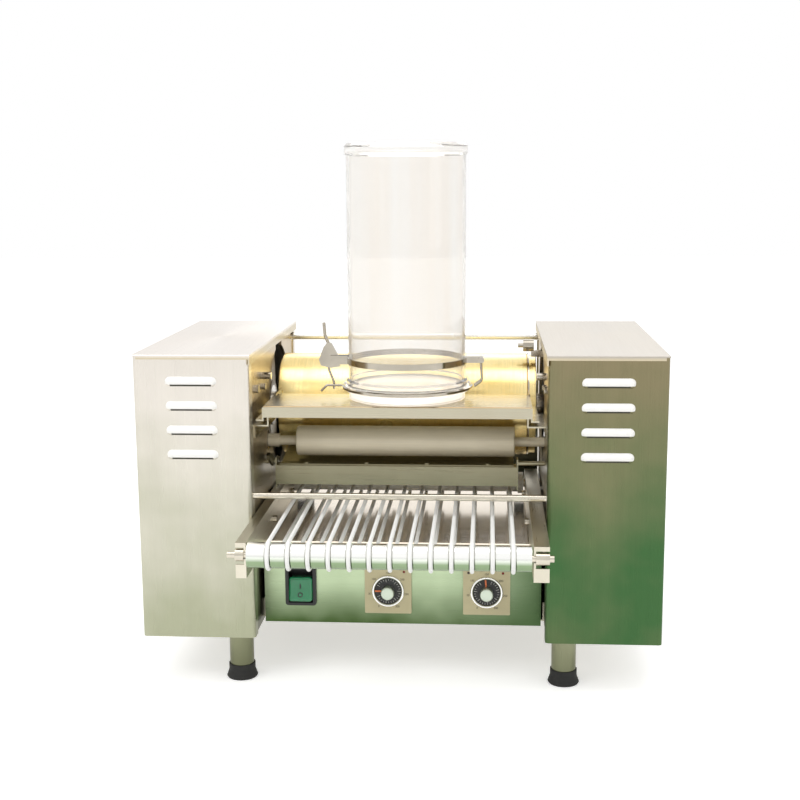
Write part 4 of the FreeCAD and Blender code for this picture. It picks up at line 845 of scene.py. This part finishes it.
def add_rear_screws(material):
    places = []
    for side in ("left", "right"):
        low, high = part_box(side + "_cover")
        for x in (low.x + SCREW_INSET, high.x - SCREW_INSET):
            for z in (low.z + COVER_SCREW_INSET, (low.z + high.z) / 2, high.z - COVER_SCREW_INSET):
                places.append((x, high.y, z))
    low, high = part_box("base_back_panel")
    for x in (low.x + SCREW_INSET, high.x - SCREW_INSET):
        for z in (low.z + SCREW_INSET, high.z - SCREW_INSET):
            places.append((x, high.y, z))
    low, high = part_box("power_inlet")
    for x in (low.x + INLET_SCREW_INSET, high.x - INLET_SCREW_INSET):
        places.append((x, high.y, (low.z + high.z) / 2))
    bm = bmesh.new()
    for place in places:
        spin_profile(bm, SCREW_PROFILE, place, BACKWARD, SCREW_STEPS)
    piece = new_piece("rear_screws", bm, material, "frame")
    sharpen(piece, 35)


# Finishes of the carried pieces; a range holds the two heights between which a tint changes,
# and the panel darkens to the right between two places along X. On the housings, covers, walls, legs,
# panel, rollers, tray and rear plate that change by height is painted light, shade and reflection,
# and so is the panel's darkening to the right
WHOLE_RANGE = (0.0, 0.5)
HOUSING_RANGE = (0.06, 0.33)
RIGHT_RANGE = (0.13, 0.335)
TOP_LIP_RANGE = (0.3365, 0.3392)
PANEL_RANGE = (0.052, 0.1)
TRAY_LIP_RANGE = (0.2842, 0.2858)
TAKEOFF_RANGE = (0.217, 0.249)
SCRAPER_RANGE = (0.19, 0.212)
LEG_RANGE = (0.0, 0.05)
FRONT_ROLLER_RANGE = (0.1625, 0.1695)
SHADE_PLATE_RANGE = (0.17, 0.21)
PANEL_SHADE_START = 0.04
PANEL_SHADE_END = 0.15


def housing_finishes():
    # The housings are one steel: the pale left, the olive right and their darker, greener lower parts are
    # painted light, shade and a painted reflection of a green floor
    left = brushed_metal("left_housing_steel", linear(160, 162, 138), linear(218, 212, 203), HOUSING_RANGE,
                         "z", streak=0.035)
    right = brushed_metal("right_housing_steel", linear(64, 98, 60), linear(140, 128, 100), RIGHT_RANGE,
                          "z", streak=0.06)
    # On both top covers the darker lower edge of the front lip is painted shade, and the right top cover is
    # a darker copy of the same steel as painted shade
    top = brushed_metal("top_cover_steel", linear(206, 194, 168), linear(234, 227, 219), TOP_LIP_RANGE,
                        "y", streak=0.03, reflection_patch=0.05)
    right_top = brushed_metal("right_top_cover_steel", linear(206, 194, 168), linear(184, 178, 169),
                              TOP_LIP_RANGE, "y", roughness=0.42, streak=0.03, reflection_patch=0.05)
    # The inner walls and drum brackets are darkened as painted shade, darkest towards the bottom
    inner = brushed_metal("inner_wall_steel", linear(104, 104, 86), linear(200, 184, 156), HOUSING_RANGE,
                          "z")
    # The legs turn darker and greener towards the feet, a painted reflection
    legs = brushed_metal("leg_steel", linear(106, 108, 84), linear(132, 134, 108), LEG_RANGE, "z",
                         roughness=0.22)
    plain = brushed_metal("folded_steel", linear(170, 166, 148), linear(200, 194, 180), WHOLE_RANGE, "y")
    rod = plain_finish("rod_steel", linear(244, 242, 237), 0.3, metallic=1.0, bump=0.03, variation=0.03)
    rubber = plain_finish("black_rubber", linear(34, 34, 32), 0.75, bump=0.3)
    return {
        left: ["left_cover"],
        right: ["right_cover"],
        top: ["left_top_cover"],
        right_top: ["right_top_cover"],
        inner: ["left_inner_wall", "right_inner_wall", "drum_brackets"],
        legs: ["leg_tubes"],
        plain: ["bottom_plates", "rear_panels", "base_bottom_plate", "base_back_panel", "motor_bracket"],
        rod: ["rear_tie_rod"],
        rubber: ["rubber_feet"],
    }


def base_finishes():
    # The control panel's green, dark towards the bottom and darker to the right, is painted reflection and
    # shade
    panel = brushed_metal("panel_steel", linear(70, 90, 52), linear(176, 192, 158), PANEL_RANGE, "x",
                          reflection_patch=0.2, right_shade=(linear(66, 90, 56), PANEL_SHADE_START, PANEL_SHADE_END))
    deck = brushed_metal("deck_steel", linear(236, 224, 206), linear(246, 236, 220), WHOLE_RANGE, "x",
                         roughness=0.16, streak=0.04)
    plates = brushed_metal("conveyor_plate_steel", linear(200, 194, 176), linear(220, 214, 199),
                           WHOLE_RANGE, "y")
    # The front roller turns greener and darker along its lower edge, a painted reflection and shade
    front_roller = brushed_metal("front_roller_steel", linear(138, 158, 124), linear(252, 252, 249),
                                 FRONT_ROLLER_RANGE, "x", roughness=0.2, streak=0.02, reflection_patch=0.03)
    white = plain_finish("white_roller", linear(246, 245, 240), 0.42, bump=0.05, variation=0.02)
    cord = plain_finish("white_cord", linear(250, 250, 246), 0.4, bump=0.04, variation=0.02)
    black = plain_finish("black_plastic", linear(30, 32, 31), 0.45, bump=0.2)
    beige = plain_finish("dial_face", linear(198, 188, 150), 0.5, variation=0.04)
    return {
        panel: ["control_panel"],
        deck: ["base_deck"],
        plates: ["conveyor_plate_left", "conveyor_plate_right"],
        front_roller: ["front_roller"],
        white: ["rear_roller"],
        cord: ["conveyor_cords"],
        black: ["switch_bezel", "terminal_block", "power_inlet", "rocker", "dial_left", "dial_right"],
        beige: ["thermostat_left", "thermostat_right"],
    }


def working_finishes():
    # The tray's lip and top are one steel in two tints, lit and shaded copies: painted light and shade
    tray = brushed_metal("tray_steel", linear(182, 176, 156), linear(150, 130, 98), TRAY_LIP_RANGE, "x",
                         roughness=0.24)
    # The take-off roller lightens towards its top, painted light
    takeoff = brushed_metal("roller_steel", linear(216, 204, 178), linear(252, 242, 216), TAKEOFF_RANGE, "x",
                            roughness=0.42, streak=0.08, metallic=0.15)
    scraper = brushed_metal("scraper_steel", linear(142, 140, 116), linear(172, 166, 142), SCRAPER_RANGE,
                            "x")
    bright = plain_finish("bright_steel", linear(204, 197, 182), 0.2, metallic=1.0, bump=0.03)
    polished = plain_finish("polished_steel", linear(178, 171, 158), 0.14, metallic=1.0, bump=0.02,
                            variation=0.12)
    gears = plain_finish("gear_steel", linear(120, 120, 122), 0.4, metallic=1.0, variation=0.15)
    motor = plain_finish("motor_paint", linear(92, 94, 96), 0.5, bump=0.2)
    seal = plain_finish("silicone_seal", linear(236, 234, 228), 0.5)
    # The emission on the body and, stronger, on the lid is painted light
    canister = clear_plastic("canister_plastic", 0.84, 0.02, 0.008)
    lid = clear_plastic("lid_plastic", 0.6, 0.04, 0.26)
    return {
        tray: ["batter_tray", "tray_brackets"],
        takeoff: ["takeoff_roller"],
        scraper: ["scraper_carrier", "scraper_blade"],
        bright: ["front_guard_rod", "front_roller_shaft"],
        polished: ["rear_roller_shaft", "shaft_bearings", "conveyor_fixings", "wall_fittings", "band_clamp",
                   "lid_ring_wire", "hinge_wires", "toggle_lever", "toggle_pull_wire", "drum_end_left",
                   "drum_end_right", "heater_rods", "heater_carrier"],
        gears: ["drum_gear", "takeoff_gear", "motor_pinion", "idler_gear", "conveyor_gear"],
        motor: ["gearmotor"],
        seal: ["canister_gasket"],
        gold_drum(): ["drum_shell"],
        canister: ["canister_body"],
        lid: ["canister_lid"],
    }


def dress(table):
    """Gives each named node its material."""
    for material, names in table.items():
        for name in names:
            mesh = nodes[name].data
            mesh.materials.clear()
            mesh.materials.append(material)


add_camera()
add_world()
add_lights()
add_floor()
for table in (housing_finishes(), base_finishes(), working_finishes()):
    dress(table)
made = bpy.data.materials
add_cords(made["white_cord"])
add_rocker_cap(plain_finish("green_gloss", linear(26, 134, 84), 0.18, coat=0.6, bump=0.02, variation=0.03))
add_rocker_marks(made["black_plastic"])
dial_kit = {
    "black": made["black_plastic"],
    "chrome": made["bright_steel"],
    "knob": plain_finish("knob_silver", linear(196, 206, 190), 0.3, metallic=0.9),
    "orange": plain_finish("pointer_orange", linear(224, 120, 70), 0.4),
    "white": plain_finish("scale_white", linear(214, 214, 206), 0.5),
    "ink": plain_finish("scale_ink", linear(48, 44, 38), 0.6),
    "led_off": plain_finish("lamp_dark", linear(52, 30, 26), 0.2, coat=0.5),
    "led_on": plain_finish("lamp_red", linear(120, 26, 20), 0.2, coat=0.5),
}
add_dial("left", "dial_l", math.radians(-90), dial_kit)
add_dial("right", "dial_r", math.radians(-5), dial_kit)
add_drum_collar(made["gold_coating"], made["polished_steel"])
# The near-white skins are a painted reflection and the dark strips under them painted shade
add_louvres(plain_finish("louvre_painted_reflection", linear(253, 252, 248), 0.3, bump=0.02, variation=0.01),
            plain_finish("louvre_shadow", linear(66, 62, 50), 0.6))
# A dark plate as painted shade under the drum and tray
add_rear_shade_plate(brushed_metal("shade_plate_steel", linear(62, 68, 54), linear(92, 84, 66), SHADE_PLATE_RANGE, "x"))
add_rear_screws(made["polished_steel"])

bpy.context.scene.view_settings.view_transform = "Standard"
